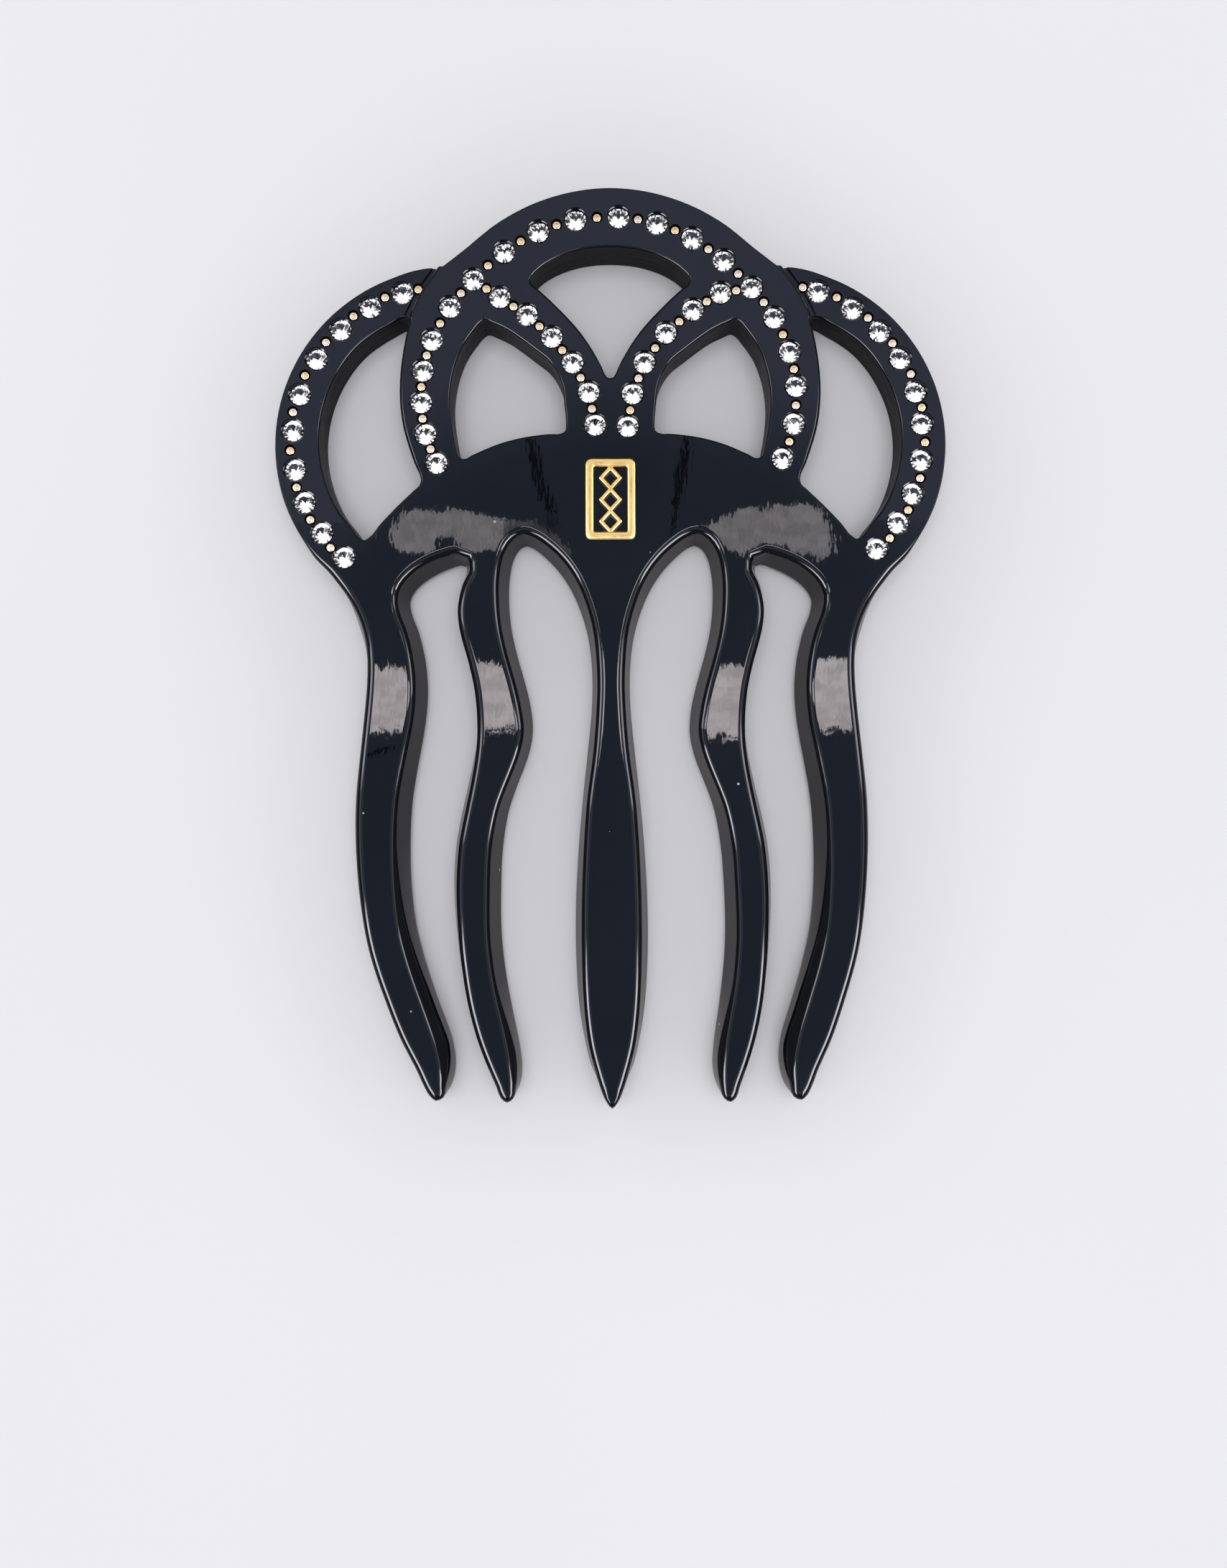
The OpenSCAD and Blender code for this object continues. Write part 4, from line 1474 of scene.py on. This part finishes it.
def studio_sky():
    """
    The floor is lit from straight above and from low down all round. Reflections see a dim ceiling with a
    paler rim, a dark room below it, and bright boxes halfway up at the left and right. Rays through the
    stones see a bright room with thin coloured bands and a dark spot high in the south. Heights are sines.
    """
    world = bpy.data.worlds.new("studio")
    bpy.context.scene.world = world
    world.cycles.sampling_method = "NONE"
    world.use_nodes = True
    tree = world.node_tree
    tree.nodes.clear()
    towards = add_node(tree, "ShaderNodeTexCoord", {}, "Generated")
    split = tree.nodes.new("ShaderNodeSeparateXYZ")
    feed(tree, split, {0: towards})
    height = split.outputs["Z"]
    room = sky_ramp(tree, height, [
        (0.0, (0.27, 0.275, 0.305)),
        (0.1, (0.1, 0.1, 0.12)),
        (0.86, (0.12, 0.13, 0.16)),
        (0.9, (0.58, 0.66, 0.95)),
        (0.942, (0.58, 0.66, 0.95)),
        (0.966, (0.22, 0.28, 0.42)),
        (1.0, (0.22, 0.28, 0.42)),
    ])
    boxes = sky_ramp(tree, height, [
        (0.0, grey(0.0)),
        (0.6, grey(0.0)),
        (0.63, (0.88, 0.86, 0.93)),
        (0.82, (0.88, 0.86, 0.93)),
        (0.85, grey(0.0)),
        (1.0, grey(0.0)),
    ])
    sideways = math_node(tree, "ABSOLUTE", split.outputs["X"])
    side_strength = threshold(tree, sideways, 0.3, 0.5, 0.0, 14.5)
    bearing = math_node(tree, "DIVIDE", split.outputs["Y"], math_node(tree, "MAXIMUM", sideways, 0.01))
    south_of_gap = threshold(tree, bearing, -0.29, -0.2, 1.0, 0.0)
    north_of_gap = math_node(
        tree, "MULTIPLY",
        threshold(tree, bearing, 0.02, 0.1, 0.0, 0.45), threshold(tree, bearing, 0.3, 0.6, 1.0, 0.1),
    )
    beside_gap = math_node(tree, "ADD", south_of_gap, north_of_gap)
    side_strength = math_node(tree, "MULTIPLY", side_strength, math_node(tree, "MAXIMUM", beside_gap, 0.08))
    scaled = add_node(tree, "ShaderNodeVectorMath", {0: boxes, "Scale": side_strength}, operation="SCALE")
    summed = add_node(tree, "ShaderNodeVectorMath", {0: scaled, 1: room}, operation="ADD")
    reflected = background(tree, summed)
    lighting = background(tree, sky_ramp(tree, height, [
        (0.0, grey(0.4)),
        (0.08, grey(0.97)),
        (0.34, grey(0.97)),
        (0.44, grey(0.15)),
        (0.86, grey(0.15)),
        (0.93, (0.915, 0.91, 0.95)),
        (1.0, (0.915, 0.91, 0.95)),
    ]), strength=2.33)
    south_tilt = math.radians(30)
    south = (0, -math.sin(south_tilt), math.cos(south_tilt))
    nearness = add_node(
        tree, "ShaderNodeVectorMath", {0: towards, 1: south}, "Value", operation="DOT_PRODUCT"
    )
    inside_stones = background(tree, sky_ramp(tree, nearness, [
        (0.0, (0.9, 0.91, 0.95)),
        (0.34, (1.15, 1.15, 1.17)),
        (0.37, (1.3, 0.5, 0.2)),
        (0.4, (1.25, 1.25, 1.27)),
        (0.44, (0.25, 0.65, 1.3)),
        (0.47, (1.3, 1.3, 1.32)),
        (0.92, (1.35, 1.35, 1.37)),
        (0.95, (0.01, 0.01, 0.015)),
        (1.0, (0.01, 0.01, 0.015)),
    ]))
    light = reflected
    for ray, shader in (
        ("Is Transmission Ray", inside_stones),
        ("Is Diffuse Ray", lighting),
        ("Is Camera Ray", background(tree, (0.86, 0.86, 0.875, 1))),
    ):
        light = chosen_shader(tree, add_node(tree, "ShaderNodeLightPath", {}, ray), light, shader)
    feed(tree, tree.nodes.new("ShaderNodeOutputWorld"), {"Surface": light})


# The whole fork

def mount(piece, node, slot, *materials):
    """Gives a piece its materials and its body, and hides the CAD node that it stands for. The slot is not
    used.
    """
    indices = [face.material_index for face in piece.data.polygons]
    piece.data.materials.clear()
    for material in materials:
        piece.data.materials.append(material)
    piece.data.polygons.foreach_set("material_index", indices)
    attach(piece, "root")
    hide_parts(node)


def build():
    groups = {"waves": polish_waves_group(), "dust": dust_group(), "scratches": scratches_group()}
    sheet = black_sheet_material(groups)
    walls = sawn_wall_material()
    emblem_gold = gold_material(groups, "emblem_gold", (0.97, 0.66, 0.24), (0.99, 0.69, 0.26), 0.2, 0.002)
    pin_gold = gold_material(groups, "pin_gold", (0.97, 0.68, 0.37), (0.98, 0.76, 0.54), 0.2, 0.02)
    crystal = crystal_material()
    foil = foil_material()
    jewels = bpy.data.collections.new("jewels")
    places = set_places()

    mount(fork_sheet(places), "fork_body", "sheet", sheet, walls)
    emblem = emblem_piece()
    mount(emblem, "emblem", "emblem_gold", emblem_gold)
    jewels.objects.link(emblem)
    chance = random.Random(11)
    for name, (row, dipped) in places.items():
        if name.startswith("stones"):
            piece = stone_row("cut_" + name, row, dipped, chance)
            mount(piece, name, "stone", crystal, foil)
        else:
            piece = pin_row("gold_" + name, row, dipped, chance)
            mount(piece, name, "pin_gold", pin_gold)
            jewels.objects.link(piece)
    return jewels


def surroundings(jewels):
    place_camera()
    place_floor(floor_material())
    studio_sky()
    pink = (1.0, 0.93, 0.99)
    warm = (1.0, 0.92, 0.94)
    left_body = [
        (-27.6, 13.6, 15),
        (-26.4, 12.8, 17),
        (-24, 12.1, 18),
        (-22.2, 12.4, 17.5),
        (-21.6, 14.3, 17.4),
        (-19.3, 14.4, 17.5),
        (-18.6, 12.5, 17.6),
        (-15.5, 12.3, 16.6),
        (-12.6, 12.2, 16.1),
    ]
    left_tail = [
        (-13, 12.2, 16.1),
        (-9.9, 12, 15.9),
        (-7.6, 11, 14.8),
        (-6.4, 10.5, 14),
        (-5.3, 10, 12.4),
    ]
    right_body = [
        (11.6, 14.2, 15.2),
        (14, 13, 16.6),
        (16.3, 11.7, 17.6),
        (19, 13.3, 17.4),
        (20.5, 13, 17.8),
        (24, 12, 18.3),
        (26.6, 11.2, 16.8),
        (27.7, 12, 14),
    ]
    left_teeth = [
        (-34, -10.3, -2.3),
        (-24, -10.3, -2.3),
        (-17, -9.9, -1.3),
        (-15.5, -9.9, -1.9),
        (-8, -9.9, -1.9),
    ]
    right_teeth = [(8, -10.9, -2), (20, -10.8, -2), (24, -10, -1.4), (34, -10, -1.5)]
    low_stand = [(-31.2, -13.6, -13.1), (-29.6, -13.1, -12.7), (-27.2, -12.7, -12.2)]
    left_stand = [(-10.2, 24.1, 28.3), (-8.6, 18.5, 22.5), (-7, 13, 16.8)]
    right_stand = [(7.8, 13.2, 18.8), (8.6, 17.4, 23.2), (9.9, 23.6, 29.8)]
    for name, rows, edges, softness, strength, colour in (
        ("left_body_panel", left_body, (1.4, 1.2, 1.4), 0.06, 3.5, pink),
        ("left_tail_panel", left_tail, (1, 1.2, 1), 0.06, 1.2, pink),
        ("right_body_panel", right_body, (1.4, 1.2, 1.4), 0.06, 3.5, pink),
        ("left_teeth_panel", left_teeth, (1, 2.6, 1.4), 0.12, 8.8, warm),
        ("right_teeth_panel", right_teeth, (1, 2.6, 1.4), 0.12, 8.8, warm),
        ("left_stand", left_stand, (0.3, 1.2, 1.2), 0.2, 0, pink),
        ("right_stand", right_stand, (0.3, 1.8, 1.8), 0.2, 0, pink),
        ("low_stand", low_stand, (0.4, 0.25, 0.25), 0.2, 0, pink),
    ):
        mirrored_panel(name, rows, edges, softness, strength, colour)
    for name, place, aim, width, height, strength in (
        ("jewel_panel_ceiling", (0, 0.24, 0.4), (0, 0.24, 0), 0.9, 0.36, 0.3),
        ("jewel_panel_south", (0, -0.45, 0.3), (0, 0.02, 0), 1.0, 0.4, 0.5),
        ("jewel_panel_east", (0.45, -0.1, 0.32), (0, 0.02, 0), 0.5, 0.5, 0.42),
        ("jewel_panel_west", (-0.45, -0.1, 0.32), (0, 0.02, 0), 0.5, 0.5, 0.42),
    ):
        jewel_panel(name, place, aim, width, height, strength, jewels)
    bpy.context.scene.view_settings.view_transform = "Standard"


surroundings(build())
